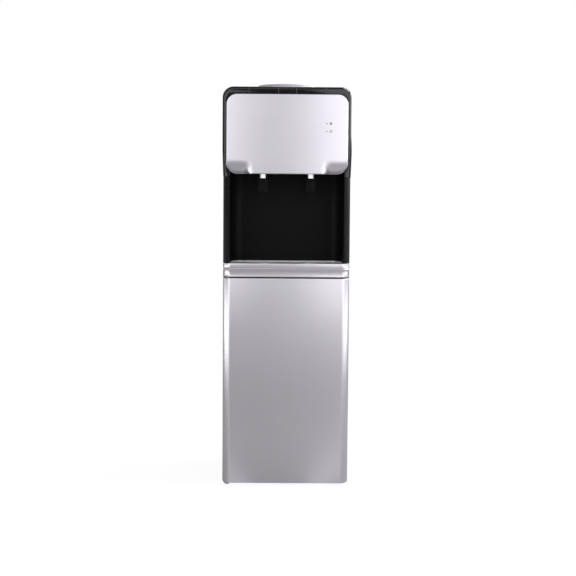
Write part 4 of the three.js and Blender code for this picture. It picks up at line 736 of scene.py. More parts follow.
@dataclass
class TraySurround(Assembly):
    """Silver rim, shadow step and concave band under the recess, with the drip tray and its grille."""

    edge: float = 1.2
    cove_height: float = 20.0
    cove_low_slope: float = 0.14
    cove_high_slope: float = -0.3
    cove_steps: int = 12
    shadow: float = 3.0
    tray_front: float = 10.0
    ledge: float = 1.0
    clearance: float = 0.6
    wall: float = 2.0
    floor: float = 519.5
    slot_pitch: float = 8.4
    slot_width: float = 4.6
    slot_end: float = 6.0
    slot_side: float = 4.0
    sheet: float = 1.6
    target: float = 14.0
    button: float = 6.0

    def ring(self, drawn_in: float, height: float, set_back: float = 0.0) -> Ring:
        """Return the front outline joined to the block that carries the tray."""
        wide = SHARED.recess_half + SHARED.recess_wall
        back = SHARED.recess_back + SHARED.recess_wall
        front = SHARED.outline(drawn_in, SHARED.moulding_back, steps=20, set_back=set_back)
        return plan([*front, (wide, SHARED.moulding_back), (wide, back), (-wide, back),
                     (-wide, SHARED.moulding_back)], height)

    def build(self) -> list[Piece]:
        """Shape the surround, the tray and the grille."""
        low, high = span("tray_surround")
        cove_low = low.z + self.edge
        cove_top = low.z + self.cove_height
        rim = cove_top + self.shadow
        turns = [QUARTER * step / 4 for step in range(5)]
        levels: list[tuple[float, float, float]] = [
            (self.edge * (1 - math.sin(t)), low.z + self.edge * (1 - math.cos(t)), 0.0) for t in turns
        ]
        climb = cove_top - cove_low
        depth = -climb * (self.cove_low_slope + self.cove_high_slope) / 2
        for step in range(self.cove_steps + 1):
            share = step / self.cove_steps
            slope = self.cove_low_slope + (self.cove_high_slope - self.cove_low_slope) * share / 2
            levels.append((depth + climb * share * slope, cove_low + climb * share, 0.0))
        levels.append((self.edge, rim - self.edge, 0.0))
        levels += [(self.edge * (1 - math.sin(t)), rim - self.edge * math.cos(t), 0.0) for t in turns[1:]]
        levels += [(self.edge * (1 - math.cos(t)), high.z - self.edge * (1 - math.sin(t)), 0.0) for t in turns]
        form = Form()
        top = form.loft([self.ring(*level) for level in levels], end=False)
        well = SHARED.well(self.ledge, SHARED.front + self.tray_front)
        mouth = form.loop(plan(well, high.z))
        bmesh.ops.triangle_fill(form.bm, edges=top + mouth, use_beauty=True)
        form.loft([plan(well, high.z), plan(well, self.floor)], start=False)
        bmesh.ops.remove_doubles(form.bm, verts=form.bm.verts, dist=0.001)

        edge = self.ledge + self.clearance
        front = SHARED.front + self.tray_front + self.clearance
        tray_low, tray_high = span("drip_tray")
        inner = edge + self.wall
        tray = Form()
        tray.loft([
            plan(inset(SHARED.well(edge, front), 1.2), tray_low.z),
            plan(SHARED.well(edge, front), tray_low.z + 1.2),
            plan(SHARED.well(edge, front), tray_high.z - 0.5),
            plan(inset(SHARED.well(edge, front), 0.5), tray_high.z),
            plan(inset(SHARED.well(edge, front), self.wall - 0.5), tray_high.z),
            plan(SHARED.well(inner, front + self.wall), tray_high.z - 0.5),
            plan(SHARED.well(inner, front + self.wall), tray_low.z + self.wall + 3),
            plan(inset(SHARED.well(inner, front + self.wall), 3), tray_low.z + self.wall),
        ])

        grille_low, grille_high = span("drip_grille")
        top_face = tray_high.z + SHARED.gap + 3
        corner = SHARED.recess_corner - edge
        corner_x = SHARED.recess_half - SHARED.recess_corner
        back = SHARED.recess_back - edge
        reach = 2 * (SHARED.recess_half - edge - self.slot_side) - self.slot_width
        count = int(reach // self.slot_pitch) + 1
        loops = [SHARED.well(edge, front)]
        for slot in range(count):
            x = (slot - (count - 1) / 2) * self.slot_pitch
            into = max(0.0, abs(x) + self.slot_width / 2 - corner_x)
            end = back - self.slot_end - corner + math.sqrt(corner * corner - into * into)
            runs = [(front + self.slot_end, end)]
            across = min(abs(x - SHARED.tap_x), abs(x + SHARED.tap_x)) - self.slot_width / 2
            if across < self.target:
                reach_y = math.sqrt(self.target**2 - max(across, 0.0) ** 2)
                runs = [(front + self.slot_end, SHARED.tap_y - reach_y - 0.8), (SHARED.tap_y + reach_y + 0.8, end)]
            loops += [
                rounded_rectangle((x - self.slot_width / 2, a), (x + self.slot_width / 2, b), 1.8, 3)[::-1]
                for a, b in runs if b - a > self.slot_width
            ]
        grille = Form().plate(loops, plan, top_face - self.sheet, top_face, 0.4, 2)
        grille.loft([
            plan(SHARED.well(edge + drawn_in, front + drawn_in), height)
            for drawn_in, height in (
                (self.wall, top_face - self.sheet + 0.2), (self.wall, grille_low.z), (0.3, grille_low.z),
                (0.3, top_face - self.sheet + 0.2),
            )
        ])
        for x in (-SHARED.tap_x, SHARED.tap_x):
            rim_profile = [(0, top_face - 0.5), (self.target, top_face - 0.5), (self.target, top_face - 0.1),
                           (self.target - 0.5, top_face + 0.25), (self.target - 2.2, top_face + 0.25),
                           (self.target - 2.8, top_face - 0.1), (self.button + 1.5, top_face - 0.2),
                           (self.button, top_face + 0.1), (self.button - 1, grille_high.z), (0, grille_high.z)]
            grille.lathe(rim_profile, Matrix.Translation((x, SHARED.tap_y, 0)), 40)
        return [
            Piece("surround_moulding", form, SILVER_MOULDING, ("tray_surround",)),
            Piece("tray_basin", tray, MATT_BLACK, ("drip_tray",), "tray"),
            Piece("tray_grille", grille, GRILLE_GREY, ("drip_grille",), "grille"),
        ]


@dataclass
class Recess(Assembly):
    """Black dispensing recess with its side wings, and the plate that carries the taps."""

    head_bottom: float = 759.5
    edge: float = 1.0
    spout_hole: float = 7.3
    slot_half: float = 9.5
    slot_front: float = -99.0
    slot_back: float = -84.0

    def build(self) -> list[Piece]:
        """Shape the recess and the tap plate."""
        low, high = span("recess_panel")
        top = self.head_bottom - SHARED.gap
        wide = SHARED.recess_half + SHARED.recess_wall
        back = SHARED.recess_back + SHARED.recess_wall
        cx = SHARED.half - SHARED.corner_wide
        cy = SHARED.front + SHARED.corner_deep
        share = (SHARED.recess_half - cx) / SHARED.corner_wide
        tip = cy - SHARED.corner_deep * math.sqrt(1 - share * share)
        start = math.acos(share)
        right = arc(cx, cy, SHARED.corner_wide, SHARED.corner_deep, -start, 0, 16)
        left = [(-x, y) for x, y in reversed(right)]
        corner = SHARED.recess_corner
        inner = [
            (-SHARED.recess_half, SHARED.recess_back - corner),
            *arc(-SHARED.recess_half + corner, SHARED.recess_back - corner, corner, corner, HALF, QUARTER, 16),
            *arc(SHARED.recess_half - corner, SHARED.recess_back - corner, corner, corner, QUARTER, 0, 16),
            (SHARED.recess_half, SHARED.recess_back - corner),
        ]
        outline = [
            (-SHARED.half, SHARED.moulding_back), *left, *inner, *right, (SHARED.half, SHARED.moulding_back),
            (wide, SHARED.moulding_back), (wide, back), (-wide, back), (-wide, SHARED.moulding_back),
        ]
        panel = Form()
        panel.loft([plan(outline, low.z), plan(outline, top)])
        tips = [e for e in panel.bm.edges if all(abs(abs(v.co.x) - SHARED.recess_half) < 0.01
                and abs(v.co.y - tip) < 0.5 for v in e.verts) and abs(e.verts[0].co.z - e.verts[1].co.z) > 1]
        panel.bevel(tips, self.edge, 3)
        upper = [
            (wide, SHARED.moulding_back), (wide, back), (-wide, back), (-wide, SHARED.moulding_back),
            (-SHARED.recess_half, SHARED.moulding_back), *inner, (SHARED.recess_half, SHARED.moulding_back),
        ]
        panel.loft([plan(upper, top - 0.2), plan(upper, high.z)])

        plate_low, plate_high = span("tap_plate")
        loops = [[(-wide, SHARED.moulding_back), (wide, SHARED.moulding_back), (wide, back), (-wide, back)]]
        for x in (-SHARED.tap_x, SHARED.tap_x):
            loops.append(arc(x, SHARED.tap_y, self.spout_hole, self.spout_hole, FULL, 0, 40)[:-1])
            loops.append(rounded_rectangle(
                (x - self.slot_half, self.slot_front), (x + self.slot_half, self.slot_back), 1.5, 3)[::-1])
        plate = Form().plate(loops, plan, plate_low.z, plate_high.z, 0.4)
        return [
            Piece("recess_moulding", panel, SATIN_BLACK, ("recess_panel",)),
            Piece("tap_shelf", plate, SATIN_BLACK, ("tap_plate",)),
        ]


@dataclass
class Head(Assembly):
    """Gloss black frame, silver fascia with its tap block, indicator lenses and their pictograms."""

    half: float = 157.0
    flare_top: float = 819.5
    corner: float = 27.0
    setback: float = 4.5
    edge_wide: float = 7.4
    edge_deep: float = 10.0
    fascia_half: float = 147.0
    fascia_corner: float = 25.0
    crown: float = 2.0
    lean: float = 1.5
    crease_rise: float = 35.0
    roll: float = 26.0
    block_half: float = 84.0
    block_blend: float = 22.0
    flatten: float = 0.98
    edge: float = 1.6
    wall: float = 3.0
    grid: float = 2.2
    rib_places: tuple[float, ...] = (-93.0, -21.7, 21.7, 93.0)

    def face(self, x: float, z: float) -> float:
        """Return the depth of the fascia's front face: crowned, leaning back, rolled below the crease."""
        low, high = self.limits
        crease = low + self.crease_rise
        crown = self.crown * (x / self.fascia_half) ** 2
        above = max(0.0, z - crease) / (high - crease)
        below = min(1.0, max(0.0, crease - z) / (crease - low))
        t = min(1.0, max(0.0, (abs(x) - self.block_half) / self.block_blend))
        side = t * t * (3 - 2 * t)
        roll = self.roll * (1 - math.sqrt(1 - (self.flatten * below) ** 2))
        return SHARED.front + crown + self.lean * above + side * roll

    def outline_frame(self) -> list[tuple[float, float, float, float, float, float]]:
        """Return the frame's front outline as x, z, inward x, inward z, and the width and depth of its edge."""
        low, high = span("head_frame")
        cx, cz = self.half - self.corner, high.z - self.corner
        outer = [(-SHARED.half, low.z, 1.0, 0.0), (-self.half, self.flare_top, 1.0, 0.0)]
        for x, z in arc(-cx, cz, self.corner, self.corner, HALF, QUARTER, 20):
            outer.append((x, z, (-cx - x) / self.corner, (cz - z) / self.corner))
        for x, z in arc(cx, cz, self.corner, self.corner, QUARTER, 0, 20):
            outer.append((x, z, (cx - x) / self.corner, (cz - z) / self.corner))
        outer += [(self.half, self.flare_top, -1.0, 0.0), (SHARED.half, low.z, -1.0, 0.0)]
        hole = self.fascia_half + SHARED.gap
        radius = self.fascia_corner + SHARED.gap
        bottom, top = self.limits[0] - SHARED.gap, self.limits[1] + SHARED.gap
        ox, oz = hole - radius, bottom + radius
        start = -math.acos((SHARED.recess_half - ox) / radius)
        right = arc(ox, oz, radius, radius, start, 0, 12)
        inner = [(SHARED.recess_half, low.z, 1.0, 0.0)]
        inner += [(x, z, (x - ox) / radius, (z - oz) / radius) for x, z in right]
        inner += [(x, z, (x - ox) / radius, (z - top + radius) / radius)
                  for x, z in arc(ox, top - radius, radius, radius, 0, QUARTER, 16)]
        mirrored = [(-x, z, -nx, nz) for x, z, nx, nz in reversed(inner)]
        return [(*p, self.edge_wide, self.edge_deep) for p in outer] + [(*p, 0.7, 0.7) for p in inner + mirrored]

    @property
    def limits(self) -> tuple[float, float]:
        """Return the fascia's lowest and highest point."""
        low, high = span("fascia")
        return low.z, high.z

    def frame_form(self) -> Form:
        """Shape the frame round the fascia."""
        points = self.outline_frame()
        front = SHARED.front + self.setback
        rings = [[Vector((x, SHARED.moulding_back, z)) for x, z, *_ in points]]
        for step in range(9):
            turn = QUARTER * step / 8
            rings.append([
                Vector((x + nx * wide * (1 - math.cos(turn)), front + deep * (1 - math.sin(turn)),
                        z + nz * wide * (1 - math.cos(turn))))
                for x, z, nx, nz, wide, deep in points
            ])
        form = Form()
        form.loft(rings)
        return form

    def rib_form(self) -> Form:
        """Shape the four slim ribs that wrap over the frame's top edge."""
        low, high = span("head_frame")
        front = SHARED.front + self.setback
        outer = [(front - 0.35, self.limits[1] + 1.5)]
        outer += [(front + self.edge_deep - (self.edge_deep + 0.35) * math.sin(turn),
                   high.z - self.edge_wide + (self.edge_wide - 0.1) * math.cos(turn))
                  for turn in (QUARTER * (1 - step / 8) for step in range(9))]
        inner = [(front + self.edge_deep, high.z - 2), (front + 2, high.z - self.edge_wide),
                 (front + 2, self.limits[1] + 1.5)]
        form = Form()
        for x in self.rib_places:
            form.loft([profile([*outer, *inner], x - 0.6), profile([*outer, *inner], x + 0.6)])
        return form

    def fascia_form(self) -> Form:
        """Shape the fascia: a fine grid trimmed to the outline, then drawn back round a soft edge."""
        low, high = self.limits
        middle = (low + high) / 2
        half_height = (high - low) / 2
        form = Form()
        turn = Matrix.Translation((0, 0, middle)) @ Matrix.Rotation(QUARTER, 4, "X")
        columns = int(self.fascia_half * 2 / self.grid)
        rows = int(half_height * 2 / self.grid)
        bmesh.ops.create_grid(
            form.bm, x_segments=columns, y_segments=rows, size=1,
            matrix=turn @ Matrix.Diagonal((self.fascia_half, half_height, 1, 1)),
        )
        trim = rounded_rectangle((-self.fascia_half + self.edge, low + self.edge),
                                 (self.fascia_half - self.edge, high - self.edge),
                                 self.fascia_corner - self.edge, 14)
        for (x0, z0), (x1, z1) in zip(trim, trim[1:] + trim[:1]):
            if math.hypot(x1 - x0, z1 - z0) < 0.001:
                continue
            outward = Vector((z1 - z0, 0, x0 - x1)).normalized()
            bmesh.ops.bisect_plane(
                form.bm, geom=form.bm.verts[:] + form.bm.edges[:] + form.bm.faces[:], dist=0.0001,
                plane_co=(x0, 0, z0), plane_no=outward, clear_outer=True,
            )
        edges = [edge for edge in form.bm.edges if edge.is_boundary]
        inner_x, inner_z = self.fascia_half - self.fascia_corner, half_height - self.fascia_corner
        base = {vert: (vert.co.x, vert.co.z) for edge in edges for vert in edge.verts}
        outwards = {}
        for vert, (x, z) in base.items():
            dx = max(0.0, abs(x) - inner_x) * math.copysign(1, x)
            dz = max(0.0, abs(z - middle) - inner_z) * math.copysign(1, z - middle)
            outwards[vert] = Vector((dx, dz)).normalized()
        for vert in form.bm.verts:
            vert.co.y = self.face(vert.co.x, vert.co.z)
        for step in range(1, 7):
            grown = bmesh.ops.extrude_edge_only(form.bm, edges=edges)["geom"]
            fresh = {item for item in grown if isinstance(item, bmesh.types.BMVert)}
            moved_base, moved_out = {}, {}
            for vert in base:
                new = next(edge.other_vert(vert) for edge in vert.link_edges if edge.other_vert(vert) in fresh)
                x, z = base[vert]
                out = outwards[vert]
                angle = QUARTER * min(step, 5) / 5
                depth = self.face(x, z) + self.edge * (1 - math.cos(angle))
                new.co = (x + out.x * self.edge * math.sin(angle),
                          depth if step < 6 else SHARED.moulding_back,
                          z + out.y * self.edge * math.sin(angle))
                moved_base[new] = (x, z)
                moved_out[new] = out
            base, outwards = moved_base, moved_out
            edges = [item for item in grown if isinstance(item, bmesh.types.BMEdge)
                     and item.verts[0] in fresh and item.verts[1] in fresh]
        bmesh.ops.recalc_face_normals(form.bm, faces=form.bm.faces)
        if next(face for face in form.bm.faces if abs(face.normal.y) > 0.9).normal.y > 0:
            bmesh.ops.reverse_faces(form.bm, faces=form.bm.faces)
        bmesh.ops.solidify(form.bm, geom=form.bm.faces, thickness=self.wall)
        return form

    def mark(self, form: Form, start: Flat, end: Flat, width: float) -> None:
        """Add one printed stroke of a pictogram on the fascia."""
        along = Vector((end[0] - start[0], end[1] - start[1]))
        side = Vector((-along.y, along.x)).normalized() * width / 2
        corners = [Vector(start) + side, Vector(start) - side, Vector(end) - side, Vector(end) + side]
        depth = min(self.face(p.x, p.y) for p in corners)
        outline = [(p.x, p.y) for p in corners]
        form.loft([elevation(outline, depth - 0.12), elevation(outline, depth + 0.4)])

    def pictograms(self) -> Form:
        """Shape a snowflake beside the upper lens and a steaming cup beside the lower one."""
        form = Form()
        low, high = span("cool_lens")
        x, z = (low.x + high.x) / 2 + 9.4, (low.z + high.z) / 2
        for arm in range(6):
            turn = arm * HALF / 3
            tip = Vector((math.cos(turn), math.sin(turn)))
            self.mark(form, (x, z), (x + tip.x * 3.7, z + tip.y * 3.7), 1.1)
            knee = Vector((x, z)) + tip * 2.2
            for lean in (-0.9, 0.9):
                twig = knee + Vector((math.cos(turn + lean), math.sin(turn + lean))) * 1.4
                self.mark(form, tuple(knee), tuple(twig), 0.9)
        low, high = span("heat_lens")
        z = (low.z + high.z) / 2
        cup = [(-3.1, 1.0), (-2.4, -2.6), (2.4, -2.6), (3.1, 1.0)]
        for (x0, z0), (x1, z1) in zip(cup, cup[1:] + cup[:1]):
            self.mark(form, (x + x0, z + z0), (x + x1, z + z1), 1.1)
        for dx in (-1.4, 0.0, 1.4):
            self.mark(form, (x + dx, z + 1.9), (x + dx + 0.5, z + 3.6), 0.8)
        return form

    def build(self) -> list[Piece]:
        """Shape the frame, the fascia, the lenses and the pictograms."""
        pieces = [
            Piece("frame_moulding", self.frame_form(), GLOSS_BLACK, ("head_frame",)),
            Piece("frame_ribs", self.rib_form(), DARK_STEEL),
            Piece("fascia_moulding", self.fascia_form(), SILVER_MOULDING, ("fascia",), sharp=50, outwards=False),
            Piece("fascia_pictograms", self.pictograms(), INK),
            Piece("signal_board", Form().cad("indicator_board", 0.2), BOARD, ("indicator_board",)),
        ]
        for node in ("cool_lens", "heat_lens"):
            low, high = span(node)
            radius = (high.x - low.x) / 2
            dome = [(0, high.y - low.y), (radius, high.y - low.y), (radius, 0.45), (radius * 0.86, 0.2),
                    (radius * 0.5, 0.04), (0, 0)]
            turn = Matrix.Translation(((low.x + high.x) / 2, low.y, (low.z + high.z) / 2))
            form = Form().lathe(dome, turn @ Matrix.Rotation(-QUARTER, 4, "X"), 32)
            pieces.append(Piece(node + "_dome", form, LENS, (node,)))
        return pieces


@dataclass
class Tap(Assembly):
    """One tap: white spout and body, black push paddle, its pin and torsion spring."""

    side: str
    sign: float
    spout_radius: float = 7.0
    bore: float = 4.0
    hub: float = 4.6
    paddle_width: float = 24.0
    paddle_thick: float = 3.0
    ear: float = 9.5
    wire: float = 0.45

    def build(self) -> list[Piece]:
        """Shape the spout, body, paddle, pin and spring."""
        x = self.sign * SHARED.tap_x
        low, high = span(f"spout_{self.side}")
        r, b = self.spout_radius, self.bore
        spout = Form().lathe([
            (b, low.z + 0.5), (b + 0.5, low.z), (r - 1.3, low.z), (r - 0.8, low.z + 0.3), (r - 0.5, low.z + 1.0),
            (r, high.z - 3), (r, high.z), (b, high.z), (b, low.z + 0.5),
        ], Matrix.Translation((x, SHARED.tap_y, 0)), 48)

        low, high = span(f"paddle_{self.side}")
        pivot_y, pivot_z = -93.0, high.z - self.hub
        half_thick = self.paddle_thick / 2
        shoulder = SHARED.tap_plate - 6
        hub_half = 8 - 1.5 - SHARED.gap
        blade = rounded_rectangle((x - self.paddle_width / 2, low.z), (x + self.paddle_width / 2, shoulder), 4, 6)
        paddle = Form().prism(blade, elevation, pivot_y - half_thick, pivot_y + half_thick, 0.8)
        paddle.block((x - hub_half, pivot_y - half_thick, shoulder - 2),
                     (x + hub_half, pivot_y + half_thick, pivot_z - 1), 0.5)
        cushion = rounded_rectangle((x - 8, low.z + 5), (x + 8, low.z + 28), 4, 6)
        paddle.prism(cushion, elevation, pivot_y - half_thick - 0.6, pivot_y, 0.5)
        across = Matrix.Translation((x - hub_half, pivot_y, pivot_z)) @ Matrix.Rotation(QUARTER, 4, "Y")
        paddle.lathe([(2.3, 0), (self.hub - 0.4, 0), (self.hub, 0.4), (self.hub, 2 * hub_half - 0.4),
                      (self.hub - 0.4, 2 * hub_half), (2.3, 2 * hub_half), (2.3, 0)], across, 36)

        pin = Form()
        start = x - self.sign * (self.ear + 2)
        end = x + self.sign * (self.ear + SHARED.gap * 2 + 4 + 1.5)
        pin.rod(Vector((start, pivot_y, pivot_z)), Vector((end, pivot_y, pivot_z)), 2.0)
        pin.rod(Vector((end - self.sign * 1.5, pivot_y, pivot_z)), Vector((end, pivot_y, pivot_z)), 3.5)

        first = x + self.sign * (self.ear + SHARED.gap)
        coils, radius = 3.5, 3.4
        steps = int(coils * 16)
        path = [Vector((first + self.sign * (0.5 + 3.0 * step / steps),
                        pivot_y + radius * math.cos(coils * FULL * step / steps),
                        pivot_z + radius * math.sin(coils * FULL * step / steps))) for step in range(steps + 1)]
        spring = Form().tube(path, self.wire, 8)
        return [
            Piece(f"spout_{self.side}_nozzle", spout, TAP_WHITE, (f"spout_{self.side}",)),
            Piece(f"tap_{self.side}_valve", Form().cad(f"tap_body_{self.side}", 0.3), TAP_WHITE,
                  (f"tap_body_{self.side}",), sharp=25),
            Piece(f"paddle_{self.side}_lever", paddle, SATIN_BLACK, (f"paddle_{self.side}",), f"{self.side}_paddle"),
            Piece(f"pin_{self.side}", pin, STAINLESS, (f"paddle_pin_{self.side}",)),
            Piece(f"spring_{self.side}", spring, ZINC_STEEL, (f"paddle_spring_{self.side}",)),
        ]


@dataclass
class Top(Assembly):
    """Black top cover, grey bottle seat with its collar, and the feed probe."""

    half: float = 157.0
    corner: float = 27.0
    wall: float = 3.0
    hole: float = 77.0
    seat_skirt: float = 8.0
    flange: float = 88.0
    collar: float = 74.0
    collar_inner: float = 65.0
    neck: float = 32.0
    neck_length: float = 15.0
    bore: float = 10.6
    probe: float = 10.0

    def cover_form(self) -> Form:
        """Shape the cover: a bent skin with a round hole, closed at the back, then given its wall."""
        low, high = span("top_cover")
        cx, cz = self.half - self.corner, high.z - self.corner
        right = arc(cx, cz, self.corner, self.corner, 0, QUARTER, 16)
        left = arc(-cx, cz, self.corner, self.corner, QUARTER, HALF, 16)
        outline = [(self.half, low.z), *right, *left, (-self.half, low.z)]
        form = Form()
        verts = [form.bm.verts.new(point) for point in elevation(outline, high.y)]
        edges = [form.bm.edges.new(pair) for pair in zip(verts, verts[1:])]
        form.bm.edges.new((verts[-1], verts[0]))
        bmesh.ops.contextual_create(form.bm, geom=verts)
        grown = bmesh.ops.extrude_edge_only(form.bm, edges=edges)["geom"]
        bmesh.ops.translate(form.bm, verts=[g for g in grown if isinstance(g, bmesh.types.BMVert)],
                            vec=(0, low.y - high.y, 0))
        back = [edge for edge in edges if edge.is_valid]
        form.bevel(back, 3.0, 5)
        flat = max((f for f in form.bm.faces if abs(f.normal.z) > 0.99), key=lambda f: f.calc_area())
        rim = list(flat.edges)
        bmesh.ops.delete(form.bm, geom=[flat], context="FACES_ONLY")
        hole = form.loop(plan(arc(0, 0, self.hole, self.hole, 0, FULL, 96)[:-1], high.z))
        bmesh.ops.triangle_fill(form.bm, edges=rim + hole, use_beauty=True)
        bmesh.ops.recalc_face_normals(form.bm, faces=form.bm.faces)
        top = max((f for f in form.bm.faces if abs(f.normal.z) > 0.99), key=lambda f: f.calc_area())
        if top.normal.z < 0:
            bmesh.ops.reverse_faces(form.bm, faces=form.bm.faces)
        bmesh.ops.solidify(form.bm, geom=form.bm.faces, thickness=self.wall)
        return form

    def build(self) -> list[Piece]:
        """Shape the cover, the seat, its red clip and the probe."""
        cover_top = span("top_cover")[1].z
        low, high = span("bottle_seat")
        top, bottom = high.z, low.z
        flange_low = cover_top + SHARED.gap
        skirt = self.hole - SHARED.gap
        skirt_end = cover_top - self.seat_skirt
        neck_top = bottom + self.neck_length
        ease = [(math.sin(QUARTER * s / 4), math.cos(QUARTER * s / 4)) for s in range(5)]
        outline = [(self.bore, bottom), (self.neck - 1, bottom), (self.neck, bottom + 1), (self.neck, neck_top),
                   (skirt - 3, skirt_end - 3), (skirt, skirt_end), (skirt, flange_low),
                   (self.flange - 0.6, flange_low), (self.flange, flange_low + 0.6)]
        outline += [(self.flange, flange_low + 1.6), (self.flange - 0.5, flange_low + 2.5),
                    (self.flange - 1.4, flange_low + 3.0), (self.collar + 1.2, flange_low + 3.0),
                    (self.collar + 0.3, flange_low + 3.4), (self.collar, flange_low + 4.3)]
        outline += [(self.collar - 2 + 2 * c, top - 2 + 2 * s) for s, c in ease]
        outline += [(self.collar_inner + 2 - 2 * s, top - 2 + 2 * c) for s, c in ease]
        outline += [(self.collar_inner, skirt_end + 2), (self.collar_inner - 1, skirt_end),
                    (self.neck - 1.5, neck_top + 2), (self.neck - 3, neck_top - 1),
                    (self.neck - 3, bottom + 5), (self.neck - 5, bottom + 3), (self.bore, bottom + 3),
                    (self.bore, bottom)]
        seat = Form().lathe(outline, Matrix.Identity(4), 120)
        for rib in range(12):
            turn = Matrix.Rotation(FULL * rib / 12 + QUARTER / 6, 4, "Z")
            web = [(self.neck - 3.5, neck_top - 6), (self.collar_inner + 0.4, skirt_end + 1),
                   (self.collar_inner + 0.4, top - 3.5), (self.collar_inner - 1.2, top - 4),
                   (self.collar_inner - 3.0, skirt_end + 3.0), (self.neck - 0.5, neck_top + 6)]
            seat.loft([[turn @ Vector((r, w, z)) for r, z in web] for w in (-0.9, 0.9)])

        clip = Form()
        first, last = math.radians(203.2), math.radians(239.1)
        steps = 16
        section = [(self.collar - 0.8, cover_top + 1.2), (self.collar + 0.9, cover_top + 1.2),
                   (self.collar + 0.9, cover_top + 7.4), (self.collar + 0.4, cover_top + 8.0),
                   (self.collar - 0.8, cover_top + 8.0)]
        clip.loft([[Vector((r * math.cos(first + (last - first) * s / steps),
                            r * math.sin(first + (last - first) * s / steps), z)) for r, z in section]
                   for s in range(steps + 1)])

        probe_low, probe_high = span("feed_probe")
        flange_z = bottom + 3 + SHARED.gap
        shoulder = probe_high.z - 5
        window = shoulder - 14
        r, b = self.probe, 7.0
        probe = Form().lathe([
            (b, probe_low.z), (r - 0.4, probe_low.z), (r, probe_low.z + 0.4), (r, flange_z), (20 - 0.5, flange_z),
            (20, flange_z + 0.5), (20, flange_z + 2.5), (20 - 0.5, flange_z + 3), (r + 1, flange_z + 3),
            (r, flange_z + 4), (r, window), (b, window), (b, probe_low.z),
        ], Matrix.Identity(4), 48)
        probe.lathe([(0, shoulder), (r, shoulder), (r, shoulder + 0.3), (r * 0.86, shoulder + 1.6),
                     (r / 2, probe_high.z - 0.5), (r * 0.3, probe_high.z), (0, probe_high.z)], Matrix.Identity(4), 48)
        for post in range(4):
            start = math.asin(2.5 / r)
            turn = Matrix.Rotation(QUARTER * post + start, 4, "Z")
            steps = 8
            sweep = QUARTER - 2 * start
            ring = [(b, window - 0.2), (r - 0.02, window - 0.2), (r - 0.02, shoulder + 0.2), (b, shoulder + 0.2)]
            probe.loft([[turn @ Vector((q * math.cos(sweep * s / steps), q * math.sin(sweep * s / steps), z))
                         for q, z in ring] for s in range(steps + 1)])
        return [
            Piece("cover_moulding", self.cover_form(), GLOSS_BLACK, ("top_cover",), outwards=False),
            Piece("seat_moulding", seat, SEAT_GREY, ("bottle_seat",), "seat"),
            Piece("seat_clip", clip, RED_PLASTIC, (), "seat"),
            Piece("probe_moulding", probe, TAP_WHITE, ("feed_probe",), "seat"),
        ]


